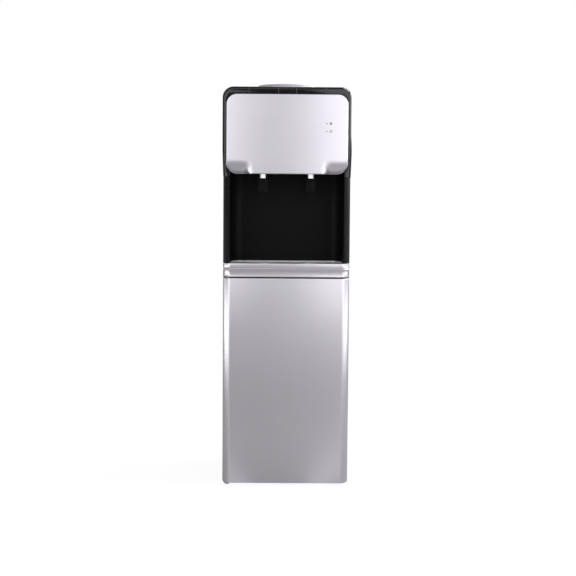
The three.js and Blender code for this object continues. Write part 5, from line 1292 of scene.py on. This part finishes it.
@dataclass
class Cabinet(Assembly):
    """Base pan, feet, side and rear panels, decks, liner, hinge hardware and the magnetic catch."""

    foot: float = 18.0
    stud: float = 4.0
    sheet_edge: float = 0.3
    facet: float = 20.0
    hinge_from_side: float = 12.0
    hinge_from_front: float = 17.0
    bracket_sheet: float = 2.5
    bracket_riser: float = -113.5
    nose: float = 5.5
    pin: float = 3.0
    pin_above_skirt: float = 12.0

    def bracket_form(self) -> Form:
        """Shape the lower hinge bracket: a tapered foot plate, its riser and flange, the boss and the pin."""
        low, high = span("hinge_bracket_lower")
        x, y = -SHARED.half + self.hinge_from_side, SHARED.front + self.hinge_from_front
        half = (high.x - low.x) / 2
        plate_top = low.z + self.bracket_sheet
        riser = self.bracket_riser
        outline = [
            (x - half, riser), (x - half, y + half + self.nose), (x - self.nose, y + self.nose / 2),
            *arc(x, y, self.nose, self.nose, HALF, FULL, 12),
            (x + self.nose, y + self.nose / 2), (x + half, y + half + self.nose), (x + half, riser),
        ]
        form = Form().prism(outline, plan, low.z, plate_top, self.sheet_edge)
        form.block((low.x, riser - self.bracket_sheet, low.z), (high.x, riser, high.z), self.sheet_edge)
        form.block((low.x, riser - self.bracket_sheet, high.z - self.bracket_sheet), high, self.sheet_edge)
        skirt = span("door_skin")[0].z
        form.rod(Vector((x, y, plate_top - 1)), Vector((x, y, skirt - SHARED.gap)), self.nose)
        form.rod(Vector((x, y, plate_top)), Vector((x, y, skirt + self.pin_above_skirt)), self.pin, 0.5)
        return form

    def liner_form(self) -> Form:
        """Shape the liner: a stepped box open at the front, rounded inside, with a flange round its mouth."""
        low, high = span("cabinet_liner")
        half = 139.5
        bottom, top = 33.3, 504.3
        front, back, step_back, step = low.y, 96.5, -7.0, 237.5
        side = [(front, bottom), (step_back, bottom), (step_back, step), (back, step), (back, top), (front, top)]
        form = Form()
        form.loft([profile(side, -half), profile(side, half)])
        mouth = next(f for f in form.bm.faces if all(abs(v.co.y - front) < 0.01 for v in f.verts))
        edges = [e for e in form.bm.edges if mouth not in e.link_faces]
        form.bevel(edges, 7.0, 5)
        mouth = next(f for f in form.bm.faces if all(abs(v.co.y - front) < 0.01 for v in f.verts))
        rim = list(mouth.edges)
        bmesh.ops.delete(form.bm, geom=[mouth], context="FACES_ONLY")
        flange = form.loop(elevation(rounded_rectangle((low.x, low.z), (high.x, high.z), 3, 4), front))
        bmesh.ops.triangle_fill(form.bm, edges=rim + flange, use_beauty=True)
        bmesh.ops.recalc_face_normals(form.bm, faces=form.bm.faces)
        floor = min((f for f in form.bm.faces if abs(f.normal.z) > 0.99), key=lambda f: f.calc_center_median().z)
        if floor.normal.z < 0:
            bmesh.ops.reverse_faces(form.bm, faces=form.bm.faces)
        bmesh.ops.solidify(form.bm, geom=form.bm.faces, thickness=2.5)
        return form

    def build(self) -> list[Piece]:
        """Shape the sheet metal from the frame's own solids, and the feet and liner afresh."""
        pieces = []
        for row in ("front", "rear"):
            for side in ("left", "right"):
                node = f"foot_{row}_{side}"
                low, high = span(node)
                r, s, z = self.foot, self.stud, high.z
                neck = z - 6.8
                outline = [(0, 0), (r - 3.2, 0), (r - 2.8, 0.5), (r - 2.2, 0), (r - 1.4, 0), (r - 0.4, 0.4),
                           (r, 1.4), (r, 4.4), (r - 0.5, 4.9), (r - 0.5, 5.5), (r, 6.0), (r, 9.0), (r - 1.2, 10.1),
                           (12.5, 10.8), (11.2, 12), (11, 14), (11, neck), (s, neck), (s, z - 0.6), (s - 0.6, z),
                           (0, z)]
                place = Matrix.Translation(((low.x + high.x) / 2, (low.y + high.y) / 2, 0))
                pieces.append(Piece(node + "_pad", Form().lathe(outline, place, 48), RUBBER, (node,)))
        for node, finish in (
            ("side_panel_left", DARK_STEEL), ("side_panel_right", DARK_STEEL), ("rear_panel", DARK_STEEL),
            ("base_pan", ZINC_STEEL), ("middle_deck", ZINC_STEEL), ("upper_deck", ZINC_STEEL),
            ("catch_magnet", FERRITE),
        ):
            form = Form().cad(node, self.sheet_edge)
            pieces.append(Piece(node + "_part", form, finish, (node,), sharp=self.facet))
        pieces.append(Piece("hinge_bracket_lower_part", self.bracket_form(), ZINC_STEEL, ("hinge_bracket_lower",)))
        low, high = span("hinge_pin_upper")
        pin = Form().rod(Vector((low.x + high.x, low.y + high.y, 2 * low.z)) / 2,
                         Vector((low.x + high.x, low.y + high.y, 2 * high.z)) / 2, self.pin, 0.5)
        pieces.append(Piece("hinge_pin", pin, ZINC_STEEL, ("hinge_pin_upper",)))
        pieces.append(Piece("liner_shell", self.liner_form(), LINER, ("cabinet_liner",), outwards=False))
        return pieces


@dataclass
class WaterSide(Assembly):
    """Cold tank in its foam with the wound evaporator, and the hot tank with its band heater."""

    coil_radius: float = 61.1
    coil_wire: float = 2.3
    coil_pitch: float = 5.4
    hot: Flat = (-65.0, 60.0)
    hot_radius: float = 46.0
    hot_low: float = 539.0
    hot_high: float = 707.0
    dome: float = 14.0
    skirt: float = 38.0
    spigot: float = 4.0
    spigot_rise: float = 7.0
    fill_inset: float = 22.0
    hose: float = 4.0

    def hot_tank_form(self) -> Form:
        """Shape the hot tank: a domed drum with a weld bead, its skirt and its three spigots."""
        x, y = self.hot
        r, z0, z1 = self.hot_radius, self.hot_low, self.hot_high
        turns = [QUARTER * s / 6 for s in range(7)]
        flat = r - self.dome
        outline = [(0, z0), *((flat + self.dome * math.sin(t), z0 + self.dome * (1 - math.cos(t))) for t in turns)]
        outline += [(r, z1 - self.dome - 2.2), (r + 0.25, z1 - self.dome - 1.6), (r + 0.25, z1 - self.dome - 0.6),
                    (r, z1 - self.dome)]
        outline += [(flat + self.dome * math.cos(t), z1 - self.dome + self.dome * math.sin(t)) for t in turns[1:]]
        form = Form().lathe([*outline, (0, z1)], Matrix.Translation((x, y, 0)), 72)
        base = span("hot_tank")[0].z
        s = self.skirt
        form.lathe([(s - 2, base), (s - 0.3, base), (s, base + 0.3), (s, z0 + 10), (s - 2, z0 + 10), (s - 2, base)],
                   Matrix.Translation((x, y, 0)), 64)
        for dx in (0.0, self.fill_inset):
            form.rod(Vector((x + dx, y, z1 - 3)), Vector((x + dx, y, z1 + self.spigot_rise)), self.spigot)
        level = z0 + self.dome + self.spigot
        form.rod(Vector((x, y + r - 4, level)), Vector((x, y + r + self.spigot_rise, level)), self.spigot)
        return form

    def heater_form(self) -> Form:
        """Shape the band heater, its two edges folded over."""
        low, high = span("heater_band")
        inner, outer = self.hot_radius + SHARED.gap, (high.x - low.x) / 2
        return Form().lathe([
            (inner, low.z), (outer - 0.4, low.z), (outer, low.z + 0.4), (outer, low.z + 3), (outer - 0.6, low.z + 3.6),
            (outer - 0.6, high.z - 3.6), (outer, high.z - 3), (outer, high.z - 0.4), (outer - 0.4, high.z),
            (inner, high.z), (inner, low.z),
        ], Matrix.Translation((*self.hot, 0)), 72)

    def hoses(self) -> dict[str, Form]:
        """Shape the four silicone water lines along the routes of the frame's own."""
        x, y = self.hot
        spigot = self.hot_high + self.spigot_rise + SHARED.gap
        inlet_y, inlet_z = -91.7, 833.5
        level = self.hot_low + self.dome + self.spigot
        routes = {
            "cold_line": [(-34.74, -56.12, 833.1), (-43.16, -69.72, 833.1),
                          (-SHARED.tap_x, inlet_y + 8, inlet_z), (-SHARED.tap_x, inlet_y, inlet_z)],
            "hot_line": [(x, y, spigot), (x, y, spigot + 14), (x / 2, y / 2, spigot + 42), (54, -3.75, spigot + 42),
                         (108, -7.5, 777.5), (108, -7.5, 791.5), (108, -7.5, 805.5), (91.6, -42.5, 826.5),
                         (SHARED.tap_x, inlet_y + 14, inlet_z), (SHARED.tap_x, inlet_y, inlet_z)],
            "fill_line": [(26, 22, 805.8), (26, 22, 791.8), (26, 22, 777.5), (-8.5, 41, spigot + 28),
                          (x + self.fill_inset, y, spigot + 7), (x + self.fill_inset, y, spigot)],
            "drain_line": [(x, 113.3, level), (x, 115.3, level), (x, 120, level - 14), (x, 120, 516), (x, 120, 397),
                           (x, 120, 292), (x, 136.3, 278), (x, 141.5, 278), (x, 150.5, 278)],
        }
        return {node: Form().tube(smooth_path([Vector(point) for point in route]), self.hose, 16)
                for node, route in routes.items()}

    def build(self) -> list[Piece]:
        """Shape the tanks, the foam, the evaporator and the water lines."""
        low, high = span("evaporator_coil")
        turns = int((high.z - low.z - 2 * self.coil_wire) / self.coil_pitch)
        steps = turns * 40
        rise = turns * self.coil_pitch
        path = [Vector((self.coil_radius * math.cos(FULL * turns * s / steps),
                        self.coil_radius * math.sin(FULL * turns * s / steps),
                        low.z + self.coil_wire + rise * s / steps)) for s in range(steps + 1)]
        coil = Form().tube(path, self.coil_wire, 10)
        low, high = span("foam_shell")
        foam = Form().lathe([(0, low.z), (74, low.z), (76, low.z + 2), (76, high.z - 1), (75, high.z),
                             (66.5, high.z), (66, high.z - 1), (66, low.z + 14), (0, low.z + 14)],
                            Matrix.Identity(4), 72)
        low, high = span("cold_tank")
        tank = Form().lathe([(0, low.z), (54, low.z), (57, low.z + 1), (58, low.z + 4), (58, high.z - 0.5),
                             (57.5, high.z), (56.9, high.z), (56.5, high.z - 0.5), (56.5, low.z + 4.5),
                             (54, low.z + 1.5), (0, low.z + 1.5)], Matrix.Identity(4), 72)
        return [
            Piece("evaporator_tube", coil, COPPER, ("evaporator_coil",)),
            Piece("foam_jacket", foam, FOAM, ("foam_shell",)),
            Piece("cold_tank_shell", tank, STAINLESS, ("cold_tank",)),
            Piece("hot_tank_drum", self.hot_tank_form(), STAINLESS, ("hot_tank",)),
            Piece("heater_band_sleeve", self.heater_form(), HEATER_STEEL, ("heater_band",)),
            *(Piece(node + "_hose", form, SILICONE, (node,)) for node, form in self.hoses().items()),
        ]


@dataclass
class CoolingCircuit(Assembly):
    """Compressor, wire-and-tube condenser and the refrigerant lines."""

    centre: Flat = (15.0, 70.0)
    radius: float = 56.0
    bottom: float = 44.0
    top: float = 188.0
    seam: float = 120.0
    pan_top: float = 25.5
    pad_top: float = 37.5
    pass_count: int = 9
    tube_radius: float = 2.4
    wire_radius: float = 0.8
    wire_count: int = 40

    def compressor_form(self) -> Form:
        """Shape the compressor's welded shell, its foot plate and its pipe stubs."""
        x, y = self.centre
        r, z0, z1 = self.radius, self.bottom, self.top
        turns = [QUARTER * s / 10 for s in range(11)]
        outline = [(0, z0 - 4), (r * 0.72, z0 - 4), (r * 0.75, z0 - 2), (r * 0.75, z0 + 2)]
        outline += [(r * 0.75 + r * 0.25 * math.sin(t), z0 + 4 + 22 * (1 - math.cos(t))) for t in turns]
        outline += [(r, self.seam - 1), (r + 1.2, self.seam), (r + 3, self.seam + 0.6),
                    (r + 3, self.seam + 5.2), (r + 2.2, self.seam + 6), (r, self.seam + 6.6)]
        outline += [(r * math.cos(t) ** 0.72, z1 - 40 + 40 * math.sin(t)) for t in turns]
        form = Form().lathe(outline, Matrix.Translation((x, y, 0)), 72)
        foot = rounded_rectangle((x - 65, y - 48), (x + 65, y + 48), 12, 6)
        form.prism(foot, plan, self.pad_top + 0.3, self.pad_top + 3.3, 0.6)
        for dx in (-18, 34):
            form.rod(Vector((x + dx, y, z1 - 26)), Vector((x + dx, y, z1 + 12)), 4.0, 0.6)
        cover = rounded_rectangle((x + 20, y + 20), (x + 52, y + 50), 4, 4)
        form.prism(cover, plan, 66, 112, 1.5)
        return form

    def grommets(self) -> Form:
        """Shape the rubber grommets between the foot plate and the base pan."""
        form = Form()
        x, y = self.centre
        for dx in (-56, 56):
            for dy in (-39, 39):
                form.lathe([(9.0, self.pad_top), (9.4, self.pad_top - 2), (9.4, self.pad_top - 4),
                            (9.05, self.pad_top - 5), (9.05, self.pad_top - 9), (9.4, self.pad_top - 10),
                            (9.0, self.pan_top + 0.2), (0, self.pan_top + 0.2)][::-1],
                           Matrix.Translation((x + dx, y + dy, 0)), 32)
                form.rod(Vector((x + dx, y + dy, self.pad_top + 3.3)),
                         Vector((x + dx, y + dy, self.pad_top + 7.5)), 5.0, 0.6)
        return form

    def condenser(self) -> tuple[Form, Form]:
        """Shape the condenser's folded tube, and its wires, rods and legs."""
        low, high = span("condenser_tube")
        depth = (low.y + high.y) / 2
        half = 118.0
        top, bottom = high.z - self.tube_radius, low.z + self.tube_radius
        pitch = (top - bottom) / (self.pass_count - 1)
        bend = pitch / 2
        path = [Vector((-half, depth, top))]
        for turn in range(self.pass_count):
            z = top - turn * pitch
            way = 1 if turn % 2 == 0 else -1
            if turn < self.pass_count - 1:
                path += [Vector((x, depth, h)) for x, h in
                         arc(way * (half - bend), z - bend, way * bend, bend, QUARTER, -QUARTER, 14)]
            else:
                path.append(Vector((way * half, depth, z)))
        tube = Form().tube(path, self.tube_radius, 14)

        frame_low, frame_high = span("condenser_wires")
        rods = (frame_low.z + 6, frame_high.z - 6)
        wires = Form()
        reach = half - 4
        wire_y = frame_high.y - self.wire_radius
        for wire in range(self.wire_count):
            x = -reach + 2 * reach * wire / (self.wire_count - 1)
            wires.rod(Vector((x, wire_y, rods[0] - 3)), Vector((x, wire_y, rods[1] + 3)), self.wire_radius, 0.2, 6)
        for z in rods:
            wires.rod(Vector((-half, frame_high.y - 1.3, z)), Vector((half, frame_high.y - 1.3, z)), 1.3, 0.3, 10)
            for x in (-half, half):
                wires.block((x - 0.8, frame_low.y, z - 6), (x + 0.8, wire_y, z + 6), 0.3)
                wires.block((x - 6, frame_low.y, z - 6), (x + 6, frame_low.y + 1.6, z + 6), 0.5)
                way = math.copysign(3.4, x)
                wires.rod(Vector((x + way, frame_low.y + 1.4, z)), Vector((x + way, frame_low.y + 3.4, z)), 2.2, 0.6)
        return tube, wires

    def lines(self) -> tuple[Form, Form]:
        """Shape the discharge and the suction line."""
        x, y = self.centre
        tube_low, tube_high = span("condenser_tube")
        depth = (tube_low.y + tube_high.y) / 2
        top, bottom = tube_high.z - self.tube_radius, tube_low.z + self.tube_radius
        out = -118 - 12 - 2.4
        end = self.top + 12.3
        rear_bottom = 262.0
        discharge = [
            (x - 18, y, end), (x - 18, y, end + 12), ((x - 18 + out) / 2, (y + depth) / 2, end + 24),
            (out + 12, depth - 4.8, rear_bottom - 24), (out, depth, rear_bottom + 12),
            (out, depth, (bottom + top) / 2), (out, depth, top - 24), (out + 4, depth, top - 3),
            (-118 - 2.7, depth, top), (-118.3, depth, top),
        ]
        port = span("evaporator_coil")[0].z + 8
        upper, middle = span("upper_deck")[1].z, span("middle_deck")[1].z
        suction_x, drop = 112.0, 120.0
        suction = [
            (64.1, 0, port), (76, 0, port), (84, 0, port), (suction_x, drop * 2 / 3, (port * 2 + upper) / 3),
            (suction_x, drop, upper + 14), (suction_x, drop, upper), (suction_x, drop, (upper + middle) / 2),
            (suction_x, drop, middle), (suction_x, drop, 259), ((suction_x + x + 34) / 2, (drop + y) / 2, end + 24),
            (x + 34, y, end + 12), (x + 34, y, end),
        ]
        return tuple(Form().tube(smooth_path([Vector(p) for p in route]), 2.4, 12)
                     for route in (discharge, suction))

    def build(self) -> list[Piece]:
        """Shape the compressor, the condenser and the lines."""
        tube, wires = self.condenser()
        discharge, suction = self.lines()
        return [
            Piece("compressor_shell", self.compressor_form(), BLACK_ENAMEL, ("compressor",), sharp=40),
            Piece("compressor_grommets", self.grommets(), RUBBER),
            Piece("condenser_pipe", tube, BLACK_ENAMEL, ("condenser_tube",)),
            Piece("condenser_grid", wires, BLACK_ENAMEL, ("condenser_wires",)),
            Piece("discharge_pipe", discharge, COPPER, ("discharge_line",)),
            Piece("suction_pipe", suction, COPPER, ("suction_line",)),
        ]


@dataclass
class RearFittings(Assembly):
    """Switch plate with two rockers, power inlet and drain cap on the back."""

    rocker_edge: float = 0.8
    cap_radius: float = 6.8
    cap_bore: float = 4.3

    def build(self) -> list[Piece]:
        """Shape the switch, the inlet and the cap."""
        low, high = span("drain_cap")
        r, b, length = self.cap_radius, self.cap_bore, high.y - low.y
        place = Matrix.Translation(((low.x + high.x) / 2, low.y, (low.z + high.z) / 2))
        cap = Form().lathe([
            (b, 0), (r - 0.4, 0), (r, 0.4), (r, 2), (r - 0.6, 2.6), (r - 0.6, length - 1.5), (r - 1.6, length - 0.3),
            (r - 2.4, length), (0, length), (0, length - 2.5), (b, length - 2.5), (b, 0),
        ], place @ Matrix.Rotation(-QUARTER, 4, "X"), 40)
        pieces = [Piece("drain_plug", cap, MATT_BLACK, ("drain_cap",), "cap")]
        for node, body in (("heat_rocker", "heat_switch"), ("cool_rocker", "cool_switch")):
            pieces.append(Piece(node + "_key", Form().cad(node, self.rocker_edge, 3), MATT_BLACK, (node,), body, sharp=20))
        for node in ("switch_plate", "power_inlet"):
            pieces.append(Piece(node + "_moulding", Form().cad(node, 0.35, 2), MATT_BLACK, (node,), sharp=20))
        return pieces


# Studio


@dataclass(frozen=True)
class SoftBox:
    """One upright soft box round the object, in metres.

    Attributes:
        name: what it is.
        azimuth: degrees from straight in front towards +X.
        reach: distance from the object's axis.
        width: its width.
        low: height of its lower edge.
        high: height of its upper edge.
        level: brightness, where 1 is white.
        tilt: degrees by which it leans over the object.
    """

    name: str
    azimuth: float
    reach: float
    width: float
    low: float
    high: float
    level: float
    tilt: float = 0.0


@dataclass
class Studio:
    """White studio: the photograph's camera, a pale floor, soft boxes and a plain surround."""

    image: int = 576
    focal: float = 1236.7
    sensor: float = 36.0
    place: tuple[float, float, float] = (-27.2, -3160.0, 716.9)
    pitch: float = 4.323
    yaw: float = 0.603
    roll: float = 0.427
    room: float = 0.08
    ambient: float = 0.35
    glow_share: float = 0.94
    mirrored_floor: float = 0.265
    # Painted reflections: bright bands on the floor, by azimuth, seen only in gloss, standing in for the front soft
    # boxes mirrored in the floor and drawing highlight lines down the door's corners
    painted_floor_reflections: tuple[tuple[float, float, float], ...] = ((-34.0, 16.0, 0.4), (25.0, 18.0, 0.42))
    shadow_reach: float = 0.5
    paper_near: float = 1.3
    paper_reach: float = 40.0
    boxes: tuple[SoftBox, ...] = (
        SoftBox("left_front", -32, 1.8, 1.6, 0.58, 1.7, 2.5),
        SoftBox("left_side", -78, 1.5, 2.6, 0.18, 0.5, 3.8),
        SoftBox("right_front", 29, 1.8, 1.6, 0.5, 1.8, 2.6),
        SoftBox("right_side", 78, 1.5, 2.6, 0.2, 0.5, 3.2),
        SoftBox("front_low", 19, 2.6, 1.7, 0.05, 0.42, 0.5),
        SoftBox("right_high", 100, 1.4, 2.4, 0.9, 1.7, 8.0),
        SoftBox("right_over", 100, 1.0, 1.4, 1.8, 2.8, 8.0, 55),
        SoftBox("overhead", 0, 1.8, 3.0, 1.6, 3.2, 1.3, 50),
    )

    def camera(self) -> None:
        """Place the camera where the photograph was taken."""
        pitch, yaw, roll = (math.radians(angle) for angle in (self.pitch, self.yaw, self.roll))
        forward = Vector((math.sin(yaw) * math.cos(pitch), math.cos(yaw) * math.cos(pitch), -math.sin(pitch)))
        level = forward.cross(Vector((0, 0, 1))).normalized()
        above = level.cross(forward)
        right = level * math.cos(roll) + above * math.sin(roll)
        up = right.cross(forward)
        data = bpy.data.cameras.new("camera")
        data.sensor_fit = "HORIZONTAL"
        data.sensor_width = self.sensor
        data.lens = self.focal / self.image * self.sensor
        data.clip_end = 50
        camera = bpy.data.objects.new("camera", data)
        camera.matrix_world = Matrix.Translation(Vector(self.place) * MM) @ Matrix(
            (right, up, -forward)).transposed().to_4x4()
        bpy.context.scene.collection.objects.link(camera)
        bpy.context.scene.camera = camera

    def soft_box(self, box: SoftBox) -> None:
        """Hang one soft box round the object, facing it."""
        turn = math.radians(box.azimuth)
        height = (box.low + box.high) / 2
        place = Vector((box.reach * math.sin(turn), -box.reach * math.cos(turn), height))
        data = bpy.data.lights.new(box.name, "AREA")
        data.shape = "RECTANGLE"
        data.size = box.width
        data.size_y = box.high - box.low
        data.energy = box.level * math.pi * data.size * data.size_y
        lamp = bpy.data.objects.new(box.name, data)
        lamp.location = place
        lamp.rotation_euler = (QUARTER - math.radians(box.tilt), 0, turn)
        bpy.context.scene.collection.objects.link(lamp)

    def surround(self) -> None:
        """Make a white world whose front stays dim in gloss, as a room behind the camera does."""
        world = bpy.data.worlds.new("surround")
        world.use_nodes = True
        tree = world.node_tree
        tree.nodes.clear()
        path = add_node(tree, "ShaderNodeLightPath")
        way = add_node(tree, "ShaderNodeTexCoord")
        split = add_node(tree, "ShaderNodeSeparateXYZ", links={0: way.outputs["Generated"]})
        behind = add_node(
            tree, "ShaderNodeMapRange",
            inputs={"From Min": 0.35, "From Max": 0.8, "To Min": self.room, "To Max": 1.0},
            links={"Value": split.outputs["Y"]},
        )
        gloss = add_node(
            tree, "ShaderNodeMath", settings={"operation": "MULTIPLY"},
            links={0: path.outputs["Is Glossy Ray"], 1: behind.outputs["Result"]},
        )
        seen = add_node(
            tree, "ShaderNodeMath", settings={"operation": "MAXIMUM"},
            links={0: path.outputs["Is Camera Ray"], 1: path.outputs["Is Transmission Ray"]},
        )
        direct = add_node(
            tree, "ShaderNodeMath", settings={"operation": "MAXIMUM"},
            links={0: gloss.outputs[0], 1: seen.outputs[0]},
        )
        soft = add_node(
            tree, "ShaderNodeMath", settings={"operation": "MULTIPLY"}, inputs={1: self.ambient},
            links={0: path.outputs["Is Diffuse Ray"]},
        )
        shade = add_node(
            tree, "ShaderNodeMath", settings={"operation": "MAXIMUM"},
            links={0: direct.outputs[0], 1: soft.outputs[0]},
        )
        back = add_node(
            tree, "ShaderNodeBackground", inputs={"Color": (1, 1, 1, 1)}, links={"Strength": shade.outputs[0]}
        )
        add_node(tree, "ShaderNodeOutputWorld", links={"Surface": back.outputs[0]})
        bpy.context.scene.world = world

    def floor(self) -> None:
        """Lay a pale sheet that keeps the object's shadow and turns plain white away from it, with painted reflections
        of the front soft boxes: bright floor bands that only gloss sees.
        """
        bm = bmesh.new()
        bmesh.ops.create_grid(bm, x_segments=1, y_segments=1, size=self.paper_reach)
        mesh = bpy.data.meshes.new("floor")
        bm.to_mesh(mesh)
        bm.free()
        floor = bpy.data.objects.new("floor", mesh)
        bpy.context.scene.collection.objects.link(floor)
        material = bpy.data.materials.new("pale studio floor")
        material.use_nodes = True
        tree = material.node_tree
        tree.nodes.clear()
        path = add_node(tree, "ShaderNodeLightPath")
        paint = add_node(tree, "ShaderNodeBsdfDiffuse", inputs={"Color": linear(0xF6F6F6)})
        place = add_node(tree, "ShaderNodeTexCoord").outputs["Object"]
        split = add_node(tree, "ShaderNodeSeparateXYZ", links={0: place})
        towards = add_node(
            tree, "ShaderNodeMath", settings={"operation": "MULTIPLY"}, inputs={1: -1.0}, links={0: split.outputs["Y"]}
        )
        azimuth = add_node(
            tree, "ShaderNodeMath", settings={"operation": "ARCTAN2"},
            links={0: split.outputs["X"], 1: towards.outputs[0]},
        )
        total = add_node(tree, "ShaderNodeValue")
        total.outputs[0].default_value = self.mirrored_floor
        # Painted reflections: add each bright floor band, by azimuth, to what gloss sees of the floor
        for middle, reach, gain in self.painted_floor_reflections:
            apart = add_node(
                tree, "ShaderNodeMath", settings={"operation": "SUBTRACT"}, inputs={1: math.radians(middle)},
                links={0: azimuth.outputs[0]},
            )
            width = add_node(
                tree, "ShaderNodeMath", settings={"operation": "ABSOLUTE"}, links={0: apart.outputs[0]}
            )
            glow = add_node(
                tree, "ShaderNodeMapRange", settings={"interpolation_type": "SMOOTHSTEP"},
                inputs={"From Min": 0.0, "From Max": math.radians(reach), "To Min": gain, "To Max": 0.0},
                links={"Value": width.outputs[0]},
            )
            total = add_node(
                tree, "ShaderNodeMath", settings={"operation": "ADD"},
                links={0: total.outputs[0], 1: glow.outputs["Result"]},
            )
        gloss = add_node(
            tree, "ShaderNodeMath", settings={"operation": "MULTIPLY"},
            links={0: path.outputs["Is Glossy Ray"], 1: total.outputs[0]},
        )
        direct = add_node(
            tree, "ShaderNodeMath", settings={"operation": "MAXIMUM"},
            links={0: path.outputs["Is Camera Ray"], 1: path.outputs["Is Transmission Ray"]},
        )
        level = add_node(
            tree, "ShaderNodeMath", settings={"operation": "MAXIMUM"},
            links={0: gloss.outputs[0], 1: direct.outputs[0]},
        )
        glow = add_node(
            tree, "ShaderNodeEmission", inputs={"Color": (1, 1, 1, 1)}, links={"Strength": level.outputs[0]}
        )
        seen = add_node(
            tree, "ShaderNodeMath", settings={"operation": "MAXIMUM"},
            links={0: path.outputs["Is Glossy Ray"], 1: direct.outputs[0]},
        )
        away = add_node(tree, "ShaderNodeVectorMath", settings={"operation": "LENGTH"}, links={0: place})
        white = add_node(
            tree, "ShaderNodeMapRange",
            inputs={"From Min": self.shadow_reach, "From Max": self.paper_near, "To Min": self.glow_share,
                    "To Max": 1.0},
            links={"Value": away.outputs["Value"]},
        )
        share = add_node(
            tree, "ShaderNodeMath", settings={"operation": "MULTIPLY"},
            links={0: seen.outputs[0], 1: white.outputs["Result"]},
        )
        mix = add_node(
            tree, "ShaderNodeMixShader",
            links={0: share.outputs[0], 1: paint.outputs[0], 2: glow.outputs[0]},
        )
        add_node(tree, "ShaderNodeOutputMaterial", links={"Surface": mix.outputs[0]})
        mesh.materials.append(material)

    def build(self) -> None:
        """Set up the camera, the light, the surround and the floor."""
        self.camera()
        for box in self.boxes:
            self.soft_box(box)
        self.surround()
        self.floor()
        bpy.context.scene.view_settings.view_transform = "Standard"


def dress_rest() -> None:
    """Give every CAD node its slot's finish, so that the ones left showing are dressed too."""
    by_slot = {finish.slot: finish for finish in FINISHES}
    for part in frame["record"]["subparts"]:
        data = frame["nodes"][part["node"]].data
        data.materials.clear()
        data.materials.append(by_slot[part["material_slot"]].material())


def main() -> None:
    """Build the studio and the sub-assemblies in order."""
    logging.basicConfig(level=logging.INFO, format="%(name)s %(message)s")
    bpy.context.preferences.edit.use_global_undo = False
    Studio().build()
    dress_rest()
    for assembly in (
        Door(), TraySurround(), Recess(), Head(), Tap("left", -1.0), Tap("right", 1.0), Top(), Cabinet(),
        WaterSide(), CoolingCircuit(), RearFittings(),
    ):
        assembly.dress(assembly.build())


if __name__ == "__main__":
    main()
